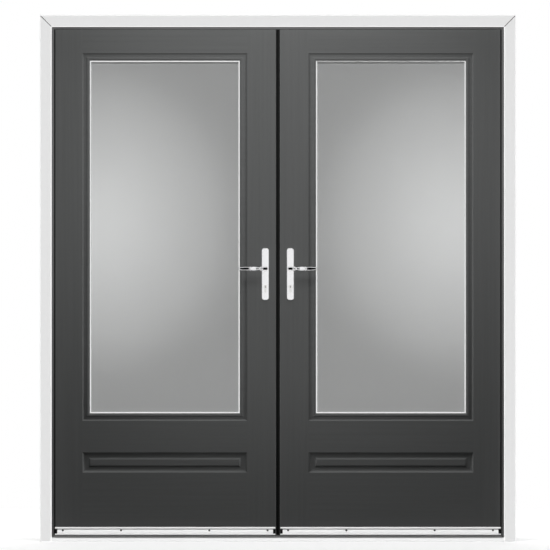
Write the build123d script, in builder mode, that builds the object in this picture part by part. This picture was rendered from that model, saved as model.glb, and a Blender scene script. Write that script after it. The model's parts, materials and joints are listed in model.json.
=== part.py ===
from build123d import *
import os

# A double composite door in its frame, seen from outside along +Y. All lengths are millimetres.
# X runs along the wall, Y from outside to inside, Z up from the underside of the threshold.
# The active leaf is on the left. The passive leaf is its mirror image, apart from what locks it.

# Outer frame, a hollow profile
frame_width = 1900
frame_height = 2100
frame_depth = 70
frame_sight = 48
frame_back = 36
frame_wall = 3
frame_bevel = 4
lip_depth = 20
inner_web_depth = 56
fixing_radius = 5.25
fixing_end = 150
fixing_count = 4

# Seals between frame and leaf
seal_root_width = 3
seal_root_depth = 5
seal_heel = 3
seal_reach = 9
seal_tip = 1
seal_gap = 0.3
threshold_seal_width = 7
threshold_seal_inset = 4

# Threshold, a hollow aluminium profile
threshold_height = 17
threshold_nose = 14
threshold_slope_run = 21
threshold_back_bevel = 4
threshold_wall = 3
threshold_web_y = 20

# Leaf
edge_gap = 4
leaf_stand_off = 5
meeting_gap = 16
leaf_bottom = 24
leaf_thickness = 44
skin = 3
skin_bevel = 2
glue_line = 0.2
hinge_stile = 60
lock_stile = 85
top_rail = 60
bottom_rail = 100

# Moulding of the skins
sunk_depth = 7
glazing_wall_run = 12
panel_height = 80.5
panel_bottom = 274.5
panel_wall_run = 13
field_end_margin = 26
field_side_margin = 21.25
field_rise = 5
field_run = 7

# Glazing
stile_sight = 148
glass_shift = 4
top_rail_sight = 142
bottom_rail_sight = 487
glazing_face = 14
glazing_groove = 4
glazing_proud = 6
glazing_outer_bevel = 3
glazing_inner_bevel_run = 5
glazing_inner_bevel = 3.5
glass_edge_cover = 6
glass_edge_gap = 4
pane = 4
cavity = 20
spacer_show = 5

# Weather bar
bar_bottom = 25.5
bar_height = 32
bar_reach = 30
bar_hinge_gap = 13
bar_meeting_gap = 2
bar_lip_reach = 4
bar_lip_radius = 4.25
bar_nose_radius = 3
bar_web = 3
bar_curve_reach_share = 0.3
bar_curve_height_share = 0.4
bar_plug = 9
bar_screw_end = 31
bar_screw_inner = 176
bar_screw_height = 19
bar_screw_seat = 4
screw_head_radius = 4
screw_head = 2.5
screw_radius = 2.2
screw_length = 18
screw_gap = 0.1

# Handles
handle_backset = 42
handle_height = 1088
plate_width = 28
plate_height = 207
plate_below = 125
plate_corner = 10
plate_thickness = 9
plate_edge = 2
plate_wall = 2.5
bush_radius = 13
neck_radius = 10
neck_gap = 0.05
neck_start = 1
neck_end_round = 5
hub_front = 8
grip_stand_off = 46
lever_reach = 108
lever_waist_radius = 6.5
lever_collar_start = 14
lever_collar_width = 8.5
lever_collar_radius = 9.5
lever_bulge_start = 31
lever_bulge_length = 25
lever_bulge_radius = 10
lever_ring_gap = 1
lever_ring_width = 6
lever_ring_root_radius = 8
lever_ring_radius = 11
grip_radius = 8.5
grip_tip_radius = 6
spindle_side = 8
spindle_gap = 0.1
spindle_socket = 16
handle_screw_inset = 8.5
handle_screw_radius = 2.5
handle_screw_head_radius = 4.5
handle_screw_head = 3
handle_boss_radius = 5.5

# Key cylinder
cylinder_below = 72
cylinder_radius = 8.5
cylinder_leg_width = 10
cylinder_height = 33
cylinder_proud = 2
cylinder_gap = 0.5
plug_radius = 6.55
plug_gap = 0.05
plug_end = 0.3
keyway_width = 2.2
keyway_height = 8.4
keyway_depth = 12
cam_radius = 15
cam_hub_radius = 8
cam_width = 8
cam_thickness = 9.6
cam_gap = 0.6

# Locks
faceplate_width = 20
faceplate_thickness = 3
faceplate_end = 216
faceplate_screw_radius = 2.2
case_depth = 66
case_set_back = 11
case_thickness = 16
case_below = 128
case_above = 90
case_corner = 4
lock_gap = 0.3
follower_radius = 6.2
bolt_above = 45
bolt_thickness = 10
bolt_height = 20
bolt_length = 50
bolt_rest = 0.5
bolt_throw = 20
upper_hook_drop = 372
lower_hook_rise = 464
hook_pivot_depth = 13
hook_thickness = 10
hook_hub_radius = 8.5
hook_pin_radius = 4
hook_pin_gap = 0.05
hook_reach = 33
hook_arm_back = 6
hook_arm_front = 3
hook_beak_width = 8
hook_beak_front = 11
hook_round = 1.5
hook_case_depth = 29
hook_case_wall = 2
hook_case_below = 12
hook_case_above = 42
hook_slot_width = 12
hook_slot_below = 5
hook_slot_above = 36

# Meeting edge and keeps
astragal_width = 8
astragal_set_back = 4
meeting_seal_reach = 5.5
meeting_seal_base = 6
meeting_seal_tip = 3
meeting_seal_inset = 3
keep_thickness = 2.5
keep_below = 14
keep_above = 42
keep_slot_width = 14
keep_slot_below = 6
keep_slot_above = 34
pocket_spare = 4.5
pocket_width = 18
pocket_below = 15
bolt_keep_half = 28
bolt_pocket_half = 14
shootbolt_inset = 28
shootbolt_radius = 5
shootbolt_gap = 0.3
shootbolt_rest = 2
shootbolt_socket = 28
shoot_keep_length = 60
shoot_keep_width = 22
shoot_keep_thickness = 1.5
shoot_slot_length = 26
shoot_slot_width = 15

# Hinges
hinge_end = 230
hinge_height = 100
hinge_plate_thickness = 4
hinge_pivot_out = 12
hinge_pivot_in = 2
hinge_knuckle_radius = 8
hinge_pin_radius = 4
hinge_pin_gap = 0.05
hinge_pin_end = 3
hinge_split = 0.4
hinge_frame_plate = 30
hinge_leaf_plate = 42
hinge_plate_gap = 4
hinge_web = 8

# How far a cut runs past what it cuts
overrun = 5

# Places worked out from the sizes
outside_y = -frame_depth / 2
inside_y = frame_depth / 2
lip_y = outside_y + lip_depth
leaf_front = lip_y + leaf_stand_off
leaf_back = leaf_front + leaf_thickness
leaf_middle = (leaf_front + leaf_back) / 2
rebate_x = frame_width / 2 - frame_back
lip_x = frame_width / 2 - frame_sight
rebate_z = frame_height - frame_back
hinge_edge = edge_gap - rebate_x
meeting_edge = -meeting_gap / 2
leaf_top = rebate_z - edge_gap
leaf_width = meeting_edge - hinge_edge
leaf_height = leaf_top - leaf_bottom
leaf_centre = ((hinge_edge + meeting_edge) / 2, (leaf_bottom + leaf_top) / 2)
core_front = leaf_front + skin
core_back = leaf_back - skin
panel_x = (meeting_edge - lip_x) / 2 + glass_shift
sight_width = lip_x + meeting_edge - 2 * stile_sight
sight_bottom = leaf_bottom + bottom_rail_sight
sight_height = leaf_top - top_rail_sight - sight_bottom
glass_centre = (panel_x, sight_bottom + sight_height / 2)
surround = glazing_face + glazing_groove + glazing_wall_run
panel_width = sight_width + 2 * surround
panel_centre = (panel_x, panel_bottom + panel_height / 2)
field_width = panel_width - 2 * field_end_margin
field_height = panel_height - 2 * field_side_margin
unit_front = leaf_middle - cavity / 2 - pane
spindle_x = meeting_edge - handle_backset
plate_centre_z = handle_height - plate_below + plate_height / 2
cylinder_z = handle_height - cylinder_below
bolt_z = handle_height + bolt_above
hook_x = meeting_edge - hook_pivot_depth
hook_z = leaf_top - upper_hook_drop
lower_hook_z = leaf_bottom + lower_hook_rise
case_bottom = handle_height - case_below
case_top = handle_height + case_above
faceplate_back = meeting_edge - faceplate_thickness
shootbolt_x = -meeting_edge + shootbolt_inset
astragal_x = -meeting_edge - astragal_width
pivot_x = hinge_edge - hinge_pivot_in
pivot_y = inside_y + hinge_pivot_out
hinge_places = [leaf_bottom + hinge_end, (leaf_bottom + leaf_top) / 2, leaf_top - hinge_end]
bar_start = bar_hinge_gap - lip_x
bar_end = meeting_edge - bar_meeting_gap
middle_plane = Plane.XZ.offset(-leaf_middle)
hook_plane = Plane.XY.offset((hook_z + lower_hook_z) / 2)


def facing(y, x=0, z=0):
    """Plane across the door at y, drawn on with X to the right and Z up, its normal pointing outside."""
    return Plane(origin=(x, y, z), x_dir=(1, 0, 0), z_dir=(0, -1, 0))


def block(x, y, z):
    """Solid between two places on each axis."""
    with BuildPart() as solid:
        with Locations(((x[0] + x[1]) / 2, (y[0] + y[1]) / 2, (z[0] + z[1]) / 2)):
            Box(abs(x[1] - x[0]), abs(y[1] - y[0]), abs(z[1] - z[0]))
    return solid.part


def rod(radius, y, x, z):
    """Cylinder across the door between two depths."""
    with BuildPart() as solid:
        with BuildSketch(facing(y[0], x, z)):
            Circle(radius)
        extrude(amount=y[0] - y[1])
    return solid.part


def tapered(width, height, centre, face_y, run, depth):
    """Block with sloped sides: a rectangle at face_y, and one smaller by run all round, depth behind it."""
    with BuildPart() as solid:
        with BuildSketch(facing(face_y)):
            with Locations(centre):
                Rectangle(width, height)
        with BuildSketch(facing(face_y + depth)):
            with Locations(centre):
                Rectangle(width - 2 * run, height - 2 * run)
        loft()
    return solid.part


def plate_of_glass(y):
    """Pane with its outer face at y."""
    with BuildPart() as solid:
        with BuildSketch(facing(y)):
            with Locations(glass_centre):
                Rectangle(sight_width + 2 * glass_edge_cover, sight_height + 2 * glass_edge_cover)
        extrude(amount=-pane)
    return solid.part


def glass_ring(points):
    """Mitred ring round the glass. A point is the distance out from the sight line and in from the face."""
    half_width = sight_width / 2
    top = sight_bottom + sight_height
    with BuildPart() as ring:
        with BuildLine() as path:
            Polyline(
                (panel_x, leaf_front, sight_bottom),
                (panel_x + half_width, leaf_front, sight_bottom),
                (panel_x + half_width, leaf_front, top),
                (panel_x - half_width, leaf_front, top),
                (panel_x - half_width, leaf_front, sight_bottom),
                close=True,
            )
        start = Plane(origin=(panel_x, leaf_front, sight_bottom), x_dir=(0, 0, -1), z_dir=(1, 0, 0))
        with BuildSketch(start):
            with BuildLine():
                Polyline(*points, close=True)
            make_face()
        sweep(path=path.wires()[0], transition=Transition.RIGHT)
    return ring.part


def cylinder_outline(plane, spare):
    """Outline of the key cylinder, round above and with a narrow leg below, larger by spare all round."""
    leg_radius = cylinder_leg_width / 2
    leg = cylinder_height - cylinder_radius - leg_radius
    with BuildSketch(plane) as outline:
        Circle(cylinder_radius + spare)
        with Locations((0, -leg / 2)):
            Rectangle(cylinder_leg_width + 2 * spare, leg)
        with Locations((0, -leg)):
            Circle(leg_radius + spare)
    return outline.sketch


def handle_screw_places():
    """Heights of the two screws that clamp the handle plates together."""
    low = handle_height - plate_below + handle_screw_inset
    return (low, low + plate_height - 2 * handle_screw_inset)


def handle_holes(y, spindle_hole):
    """Holes for the spindle, the cylinder and the handle screws between two depths."""
    with BuildPart() as holes:
        extrude(cylinder_outline(facing(y[0], spindle_x, cylinder_z), cylinder_gap), amount=y[0] - y[1])
        add(rod(spindle_hole, y, spindle_x, handle_height))
        for height in handle_screw_places():
            add(rod(handle_screw_radius + cylinder_gap, y, spindle_x, height))
    return holes.part


def save(piece, name):
    """Label a finished piece and write it."""
    piece.label = name
    export_step(piece, f"parts/{name}.step")


# Frame profile: lip outside, rebate behind it, three chambers and a groove for the seal
def frame_profile(plane):
    chambers = (
        (frame_wall, lip_depth - frame_wall),
        (lip_depth, inner_web_depth),
        (inner_web_depth + frame_wall, frame_depth - frame_wall),
    )
    lip_middle = (frame_back + frame_sight) / 2
    lip_chamber_end = lip_depth - seal_root_depth - frame_wall
    with BuildSketch(plane) as profile:
        with BuildLine():
            Polyline(
                (0, frame_bevel),
                (frame_bevel, 0),
                (frame_sight - frame_bevel, 0),
                (frame_sight, frame_bevel),
                (frame_sight, lip_depth),
                (frame_back, lip_depth),
                (frame_back, frame_depth),
                (0, frame_depth),
                close=True,
            )
        make_face()
        for near, far in chambers:
            with Locations((frame_back / 2, (near + far) / 2)):
                Rectangle(frame_back - 2 * frame_wall, far - near, mode=Mode.SUBTRACT)
        with Locations((lip_middle, (frame_wall + lip_chamber_end) / 2)):
            lip_chamber_width = frame_sight - frame_back - 2 * frame_wall
            Rectangle(lip_chamber_width, lip_chamber_end - frame_wall, mode=Mode.SUBTRACT)
        with Locations((lip_middle, lip_depth - seal_root_depth / 2)):
            Rectangle(seal_root_width, seal_root_depth, mode=Mode.SUBTRACT)
    return profile.sketch


# Seal profile: a root in the groove and a wedge that shows beside the lip
def seal_profile(plane):
    face = lip_depth + leaf_stand_off - seal_gap
    with BuildSketch(plane) as profile:
        with BuildLine():
            Polyline(
                (frame_back + seal_heel, lip_depth),
                (frame_sight, lip_depth),
                (frame_sight + seal_reach, face - seal_tip),
                (frame_sight + seal_reach, face),
                (frame_back + seal_heel, face),
                close=True,
            )
        make_face()
        with Locations(((frame_back + frame_sight) / 2, lip_depth - seal_root_depth / 2)):
            Rectangle(seal_root_width, seal_root_depth)
    return profile.sketch


jamb_plane = Plane(origin=(-frame_width / 2, outside_y, 0), x_dir=(1, 0, 0), z_dir=(0, 0, 1))
head_plane = Plane(origin=(-frame_width / 2, outside_y, frame_height), x_dir=(0, 0, -1), z_dir=(1, 0, 0))
left_mitre = Plane(origin=(-frame_width / 2, 0, frame_height), z_dir=(1, 0, 1))
right_mitre = Plane(origin=(frame_width / 2, 0, frame_height), z_dir=(-1, 0, 1))

# Jamb with its line of wall fixings through the middle chamber
fixing_pitch = (frame_height - 2 * fixing_end) / (fixing_count - 1)
fixing_y = outside_y + (lip_depth + inner_web_depth) / 2
with BuildPart() as frame_jamb:
    extrude(frame_profile(jamb_plane), amount=frame_height)
    split(bisect_by=left_mitre, keep=Keep.BOTTOM)
    with BuildSketch(Plane.YZ.offset(-frame_width / 2 - overrun)):
        with Locations((fixing_y, frame_height / 2)):
            with GridLocations(0, fixing_pitch, 1, fixing_count):
                Circle(fixing_radius)
    extrude(amount=frame_back + 2 * overrun, mode=Mode.SUBTRACT)

# Head with the hole that the upper shootbolt enters
shoot_slot_x = (shootbolt_x - shoot_slot_length / 2, shootbolt_x + shoot_slot_length / 2)
shoot_slot_y = (leaf_middle - shoot_slot_width / 2, leaf_middle + shoot_slot_width / 2)
with BuildPart() as frame_head:
    extrude(frame_profile(head_plane), amount=frame_width)
    split(bisect_by=left_mitre, keep=Keep.TOP)
    split(bisect_by=right_mitre, keep=Keep.TOP)
    head_slot = block(shoot_slot_x, shoot_slot_y, (rebate_z - overrun, rebate_z + frame_wall + overrun))
    add(head_slot, mode=Mode.SUBTRACT)

# Weatherseal along both jambs and the head, welded at its corners
with BuildPart() as seal_left:
    extrude(seal_profile(jamb_plane.offset(threshold_height)), amount=frame_height - threshold_height)
    split(bisect_by=left_mitre, keep=Keep.BOTTOM)
with BuildPart() as frame_weatherseal:
    extrude(seal_profile(head_plane), amount=frame_width)
    split(bisect_by=left_mitre, keep=Keep.TOP)
    split(bisect_by=right_mitre, keep=Keep.TOP)
    add(seal_left.part)
    add(mirror(seal_left.part, about=Plane.YZ, mode=Mode.PRIVATE))

# Threshold between the jambs, notched round their lips, with a seat for the lower bolt keep
slope_end = outside_y + threshold_slope_run
threshold_inner_top = threshold_height - threshold_wall
nose_inner_top = threshold_nose - threshold_wall / 2
bevel_inner_foot = threshold_inner_top - threshold_back_bevel + threshold_wall / 2
with BuildPart() as threshold:
    with BuildSketch(Plane.YZ.offset(-rebate_x)):
        with BuildLine():
            Polyline(
                (outside_y, 0),
                (outside_y, threshold_nose),
                (slope_end, threshold_height),
                (inside_y - threshold_back_bevel, threshold_height),
                (inside_y, threshold_height - threshold_back_bevel),
                (inside_y, 0),
                close=True,
            )
        make_face()
        with BuildLine():
            Polyline(
                (outside_y + threshold_wall, threshold_wall),
                (outside_y + threshold_wall, nose_inner_top),
                (slope_end - threshold_wall, threshold_inner_top - threshold_wall / 2),
                (slope_end - threshold_wall, threshold_wall),
                close=True,
            )
        make_face(mode=Mode.SUBTRACT)
        with Locations(((slope_end + threshold_web_y) / 2, (threshold_wall + threshold_inner_top) / 2)):
            Rectangle(threshold_web_y - slope_end, threshold_inner_top - threshold_wall, mode=Mode.SUBTRACT)
        with BuildLine():
            Polyline(
                (threshold_web_y + threshold_wall, threshold_wall),
                (threshold_web_y + threshold_wall, threshold_inner_top),
                (inside_y - threshold_back_bevel - threshold_wall / 2, threshold_inner_top),
                (inside_y - threshold_wall, bevel_inner_foot),
                (inside_y - threshold_wall, threshold_wall),
                close=True,
            )
        make_face(mode=Mode.SUBTRACT)
    extrude(amount=2 * rebate_x)
    notch_y = (outside_y - overrun, lip_y)
    notch_z = (-overrun, threshold_height + overrun)
    add(block((-rebate_x - overrun, -lip_x), notch_y, notch_z), mode=Mode.SUBTRACT)
    add(block((lip_x, rebate_x + overrun), notch_y, notch_z), mode=Mode.SUBTRACT)
    add(block(shoot_slot_x, shoot_slot_y, (threshold_wall, threshold_height + overrun)), mode=Mode.SUBTRACT)
    keep_x = (shootbolt_x - shoot_keep_length / 2, shootbolt_x + shoot_keep_length / 2)
    keep_y = (leaf_middle - shoot_keep_width / 2, leaf_middle + shoot_keep_width / 2)
    keep_z = (threshold_height - shoot_keep_thickness, threshold_height + overrun)
    add(block(keep_x, keep_y, keep_z), mode=Mode.SUBTRACT)

# Domed seal on the threshold, under the leaves
with BuildPart() as threshold_seal:
    with BuildSketch(Plane.YZ.offset(-rebate_x)):
        seal_back = inside_y - threshold_seal_inset
        seal_front = seal_back - threshold_seal_width
        seal_middle = (seal_front + seal_back) / 2
        with BuildLine():
            Line((seal_front, threshold_height), (seal_back, threshold_height))
            ThreePointArc(
                (seal_back, threshold_height),
                (seal_middle, leaf_bottom - seal_gap),
                (seal_front, threshold_height),
            )
        make_face()
    extrude(amount=2 * rebate_x)


# Keep plate with a slot that a shootbolt passes through
def shoot_keep(bottom):
    plate_z = (bottom, bottom + shoot_keep_thickness)
    with BuildPart() as plate:
        add(block(keep_x, keep_y, plate_z))
        slot_z = (bottom - overrun, bottom + shoot_keep_thickness + overrun)
        add(block(shoot_slot_x, shoot_slot_y, slot_z), mode=Mode.SUBTRACT)
    return plate.part


head_bolt_keep = shoot_keep(rebate_z - shoot_keep_thickness)
threshold_bolt_keep = shoot_keep(threshold_height - shoot_keep_thickness)


# Blocks that shape the moulding: the sunk edge round the glass, the sunk panel and its raised field
def glazing_dish(face_y):
    width = sight_width + 2 * surround
    height = sight_height + 2 * surround
    return tapered(width, height, glass_centre, face_y, glazing_wall_run, sunk_depth)


def panel_dish(face_y):
    return tapered(panel_width, panel_height, panel_centre, face_y, panel_wall_run, sunk_depth)


def panel_field(floor_y):
    return tapered(field_width, field_height, panel_centre, floor_y, field_run, -field_rise)


aperture_edge = glass_edge_cover + glass_edge_gap
aperture_half = sight_width / 2 + aperture_edge
aperture_x = (panel_x - aperture_half, panel_x + aperture_half)
aperture_z = (sight_bottom - aperture_edge, sight_bottom + sight_height + aperture_edge)
leaf_through = (leaf_front - overrun, leaf_back + overrun)

# Weather bar screws stand at these places
bar_middle = (bar_start + bar_end) / 2
bar_screw_places = [
    bar_start + bar_screw_end,
    bar_middle - bar_screw_inner,
    bar_middle + bar_screw_inner,
    bar_end - bar_screw_end,
]
bar_screw_z = bar_bottom + bar_screw_height
bar_screw_end_y = leaf_front - bar_screw_seat + screw_length

# Outer skin, moulded from sheet of one thickness, and its mirror image inside
with BuildPart() as plain_skin:
    with BuildSketch(facing(leaf_front)):
        with Locations(leaf_centre):
            Rectangle(leaf_width, leaf_height)
    extrude(amount=-skin)
    chamfer(plain_skin.faces().sort_by(Axis.Y)[0].edges(), length=skin_bevel)
    add(glazing_dish(leaf_front + skin))
    add(panel_dish(leaf_front + skin))
    add(glazing_dish(leaf_front), mode=Mode.SUBTRACT)
    add(panel_dish(leaf_front), mode=Mode.SUBTRACT)
    add(panel_field(leaf_front + sunk_depth))
    add(panel_field(leaf_front + sunk_depth + skin), mode=Mode.SUBTRACT)
    add(block(aperture_x, leaf_through, aperture_z), mode=Mode.SUBTRACT)
    skin_reach = (leaf_front - overrun, leaf_front + sunk_depth)
    add(handle_holes(skin_reach, bush_radius), mode=Mode.SUBTRACT)
inner_skin = mirror(plain_skin.part, about=middle_plane)
with BuildPart() as outer_skin:
    add(plain_skin.part)
    for place in bar_screw_places:
        add(rod(screw_radius + screw_gap, skin_reach, place, bar_screw_z), mode=Mode.SUBTRACT)

# Foam core, filling the leaf between its stiles and rails up to the backs of both skins
core_x = (hinge_edge + hinge_stile, meeting_edge - lock_stile)
core_z = (leaf_bottom + bottom_rail, leaf_top - top_rail)
with BuildPart() as skin_back:
    add(glazing_dish(core_front))
    add(panel_dish(core_front))
    add(panel_field(core_front + sunk_depth), mode=Mode.SUBTRACT)
with BuildPart() as core:
    add(block(core_x, (core_front, core_back), core_z))
    add(skin_back.part, mode=Mode.SUBTRACT)
    add(mirror(skin_back.part, about=middle_plane, mode=Mode.PRIVATE), mode=Mode.SUBTRACT)
    add(block(aperture_x, leaf_through, aperture_z), mode=Mode.SUBTRACT)

# Edge frame: two stiles, and two rails glued between them
rail_x = (hinge_edge + hinge_stile + glue_line, meeting_edge - lock_stile - glue_line)
with BuildPart() as plain_edge_frame:
    add(block((hinge_edge, hinge_edge + hinge_stile), (core_front, core_back), (leaf_bottom, leaf_top)))
    add(block((meeting_edge - lock_stile, meeting_edge), (core_front, core_back), (leaf_bottom, leaf_top)))
    add(block(rail_x, (core_front, core_back), (leaf_bottom, leaf_bottom + bottom_rail)))
    add(block(rail_x, (core_front, core_back), (leaf_top - top_rail, leaf_top)))
    add(handle_holes((core_front - overrun, core_back + overrun), bush_radius), mode=Mode.SUBTRACT)
    for place in bar_screw_places:
        screw_y = (core_front - overrun, bar_screw_end_y + screw_gap)
        add(rod(screw_radius + screw_gap, screw_y, place, bar_screw_z), mode=Mode.SUBTRACT)

# Glazing frames, clipped over the glass from both sides
seat_y = sunk_depth
glass_y = unit_front - leaf_front
bead_front = sunk_depth - glazing_proud
glazing_frame_outer = glass_ring(
    [
        (glazing_face, seat_y),
        (glazing_face, bead_front + glazing_outer_bevel),
        (glazing_face - glazing_outer_bevel, bead_front),
        (glazing_inner_bevel_run, bead_front),
        (0, bead_front + glazing_inner_bevel),
        (0, glass_y),
        (glass_edge_cover, glass_y),
        (glass_edge_cover, seat_y),
    ]
)
glazing_frame_inner = mirror(glazing_frame_outer, about=middle_plane)
outer_pane = plate_of_glass(unit_front)
inner_pane = plate_of_glass(unit_front + pane + cavity)
spacer_bar = glass_ring(
    [
        (-spacer_show, glass_y + pane),
        (glass_edge_cover, glass_y + pane),
        (glass_edge_cover, glass_y + pane + cavity),
        (-spacer_show, glass_y + pane + cavity),
    ]
)

# Weather bar: a round lip above, a hollow face below it and a rounded nose at the bottom
lip_bottom = bar_height - 2 * bar_lip_radius
nose_top = 2 * bar_nose_radius
nose_y = bar_nose_radius - bar_reach
curve_middle = (
    -bar_web + (nose_y + bar_web) * bar_curve_reach_share,
    nose_top + (lip_bottom - nose_top) * bar_curve_height_share,
)
bar_plane = Plane(origin=(bar_start, leaf_front, bar_bottom), x_dir=(0, 1, 0), z_dir=(1, 0, 0))
with BuildPart() as weather_bar:
    with BuildSketch(bar_plane):
        with BuildLine():
            Line((0, 0), (0, bar_height))
            Line((0, bar_height), (-bar_lip_reach, bar_height))
            ThreePointArc(
                (-bar_lip_reach, bar_height),
                (-bar_lip_reach - bar_lip_radius, bar_height - bar_lip_radius),
                (-bar_lip_reach, lip_bottom),
            )
            Line((-bar_lip_reach, lip_bottom), (-bar_web, lip_bottom))
            ThreePointArc((-bar_web, lip_bottom), curve_middle, (nose_y, nose_top))
            ThreePointArc((nose_y, nose_top), (-bar_reach, bar_nose_radius), (nose_y, 0))
            Line((nose_y, 0), (0, 0))
        make_face()
    extrude(amount=bar_end - bar_start)
    for place in bar_screw_places:
        seat = leaf_front - bar_screw_seat
        sink = (leaf_front - bar_reach - overrun, seat)
        add(rod(screw_head_radius + cylinder_gap, sink, place, bar_screw_z), mode=Mode.SUBTRACT)
        bore = (seat - overrun, leaf_front + overrun)
        add(rod(screw_radius + screw_gap, bore, place, bar_screw_z), mode=Mode.SUBTRACT)

# Plugs that close the hollow face of the weather bar at its two ends
with BuildPart() as weather_bar_plugs:
    for start in (bar_start, bar_end - bar_plug):
        plug_plane = Plane(origin=(start, leaf_front, bar_bottom), x_dir=(0, 1, 0), z_dir=(1, 0, 0))
        with BuildSketch(plug_plane):
            with BuildLine():
                Line((-bar_web, lip_bottom), (-bar_lip_reach, lip_bottom))
                Line((-bar_lip_reach, lip_bottom), (nose_y, nose_top))
                ThreePointArc((nose_y, nose_top), curve_middle, (-bar_web, lip_bottom))
            make_face()
        extrude(amount=bar_plug)

# Screws of the weather bar and of the handle plates
handle_screw_end = leaf_front - plate_thickness + plate_wall
with BuildPart() as screws:
    for place in bar_screw_places:
        seat = leaf_front - bar_screw_seat
        add(rod(screw_head_radius, (seat - screw_head, seat), place, bar_screw_z))
        add(rod(screw_radius, (seat, bar_screw_end_y), place, bar_screw_z))
    for height in handle_screw_places():
        head_top = leaf_back + plate_thickness - plate_wall / 2
        add(rod(handle_screw_head_radius, (head_top - handle_screw_head, head_top), spindle_x, height))
        add(rod(handle_screw_radius, (handle_screw_end, head_top - handle_screw_head), spindle_x, height))

# Handle plate, a cast shell with a bush for the lever's neck and a boss for each screw
plate_plane = facing(leaf_front, spindle_x, plate_centre_z)
with BuildPart() as plain_plate:
    with BuildSketch(plate_plane):
        RectangleRounded(plate_width, plate_height, plate_corner)
    extrude(amount=plate_thickness)
    chamfer(plain_plate.faces().sort_by(Axis.Y)[0].edges(), length=plate_edge)
    with BuildSketch(plate_plane):
        hollow = (plate_width - 2 * plate_wall, plate_height - 2 * plate_wall)
        RectangleRounded(hollow[0], hollow[1], plate_corner - plate_wall)
        with Locations((0, handle_height - plate_centre_z)):
            Circle(bush_radius, mode=Mode.SUBTRACT)
        for height in handle_screw_places():
            with Locations((0, height - plate_centre_z)):
                Circle(handle_boss_radius, mode=Mode.SUBTRACT)
    extrude(amount=plate_thickness - plate_wall, mode=Mode.SUBTRACT)
    plate_reach = (leaf_front - plate_thickness - overrun, leaf_front + overrun)
    add(rod(neck_radius + neck_gap, plate_reach, spindle_x, handle_height), mode=Mode.SUBTRACT)
    plate_hole = cylinder_outline(facing(plate_reach[0], spindle_x, cylinder_z), cylinder_gap)
    extrude(plate_hole, amount=plate_reach[0] - plate_reach[1], mode=Mode.SUBTRACT)
with BuildPart() as handle_plate_outer:
    add(plain_plate.part)
    for height in handle_screw_places():
        bore = (handle_screw_end - screw_gap, leaf_front + overrun)
        add(rod(handle_screw_radius + screw_gap, bore, spindle_x, height), mode=Mode.SUBTRACT)
with BuildPart() as handle_plate_inner:
    add(mirror(plain_plate.part, about=middle_plane, mode=Mode.PRIVATE))
    for height in handle_screw_places():
        head_seat = leaf_back + plate_thickness - plate_wall / 2 - handle_screw_head
        bore = (leaf_back - overrun, leaf_back + plate_thickness + overrun)
        add(rod(handle_screw_radius + screw_gap, bore, spindle_x, height), mode=Mode.SUBTRACT)
        sink = (head_seat, leaf_back + plate_thickness + overrun)
        add(rod(handle_screw_head_radius + screw_gap, sink, spindle_x, height), mode=Mode.SUBTRACT)

# Lever: a neck that ends in a round, and an arm turned with a collar, a bulge, a ring and a tapered grip
grip_y = leaf_front - grip_stand_off
neck_length = grip_stand_off + hub_front - neck_start
collar_end = lever_collar_start + lever_collar_width
bulge_end = lever_bulge_start + lever_bulge_length
ring_start = bulge_end + lever_ring_gap
ring_end = ring_start + lever_ring_width
tip_start = lever_reach - grip_tip_radius
lever_plane = Plane(origin=(spindle_x, grip_y, handle_height), x_dir=(-1, 0, 0), z_dir=(0, 1, 0))
with BuildPart() as plain_lever:
    with BuildSketch(facing(leaf_front - neck_start, spindle_x, handle_height)):
        Circle(neck_radius)
    extrude(amount=neck_length)
    fillet(plain_lever.faces().sort_by(Axis.Y)[0].edges(), radius=neck_end_round)
    with BuildSketch(lever_plane):
        with BuildLine():
            Polyline((lever_reach, 0), (0, 0), (0, lever_waist_radius), (lever_collar_start, lever_waist_radius))
            ThreePointArc(
                (lever_collar_start, lever_waist_radius),
                ((lever_collar_start + collar_end) / 2, lever_collar_radius),
                (collar_end, lever_waist_radius),
            )
            Line((collar_end, lever_waist_radius), (lever_bulge_start, lever_waist_radius))
            ThreePointArc(
                (lever_bulge_start, lever_waist_radius),
                ((lever_bulge_start + bulge_end) / 2, lever_bulge_radius),
                (bulge_end, lever_ring_root_radius),
            )
            Line((bulge_end, lever_ring_root_radius), (ring_start, lever_ring_root_radius))
            ThreePointArc(
                (ring_start, lever_ring_root_radius),
                ((ring_start + ring_end) / 2, lever_ring_radius),
                (ring_end, lever_ring_root_radius),
            )
            ThreePointArc(
                (ring_end, lever_ring_root_radius),
                ((ring_end + tip_start) / 2, grip_radius),
                (tip_start, grip_tip_radius),
            )
            CenterArc((tip_start, 0), grip_tip_radius, 0, 90)
        make_face()
    revolve(axis=Axis(lever_plane.origin, lever_plane.x_dir))

# The inner lever carries the square spindle, and the outer one its socket
socket_half = spindle_side / 2 + spindle_gap
spindle_half = spindle_side / 2
socket_end = leaf_front - neck_start - spindle_socket
with BuildPart() as lever_outer:
    add(plain_lever.part)
    add(
        block(
            (spindle_x - socket_half, spindle_x + socket_half),
            (socket_end, leaf_front),
            (handle_height - socket_half, handle_height + socket_half),
        ),
        mode=Mode.SUBTRACT,
    )
with BuildPart() as lever_inner:
    add(mirror(plain_lever.part, about=middle_plane, mode=Mode.PRIVATE))
    add(
        block(
            (spindle_x - spindle_half, spindle_x + spindle_half),
            (socket_end + spindle_gap, leaf_back + neck_start),
            (handle_height - spindle_half, handle_height + spindle_half),
        )
    )

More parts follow.
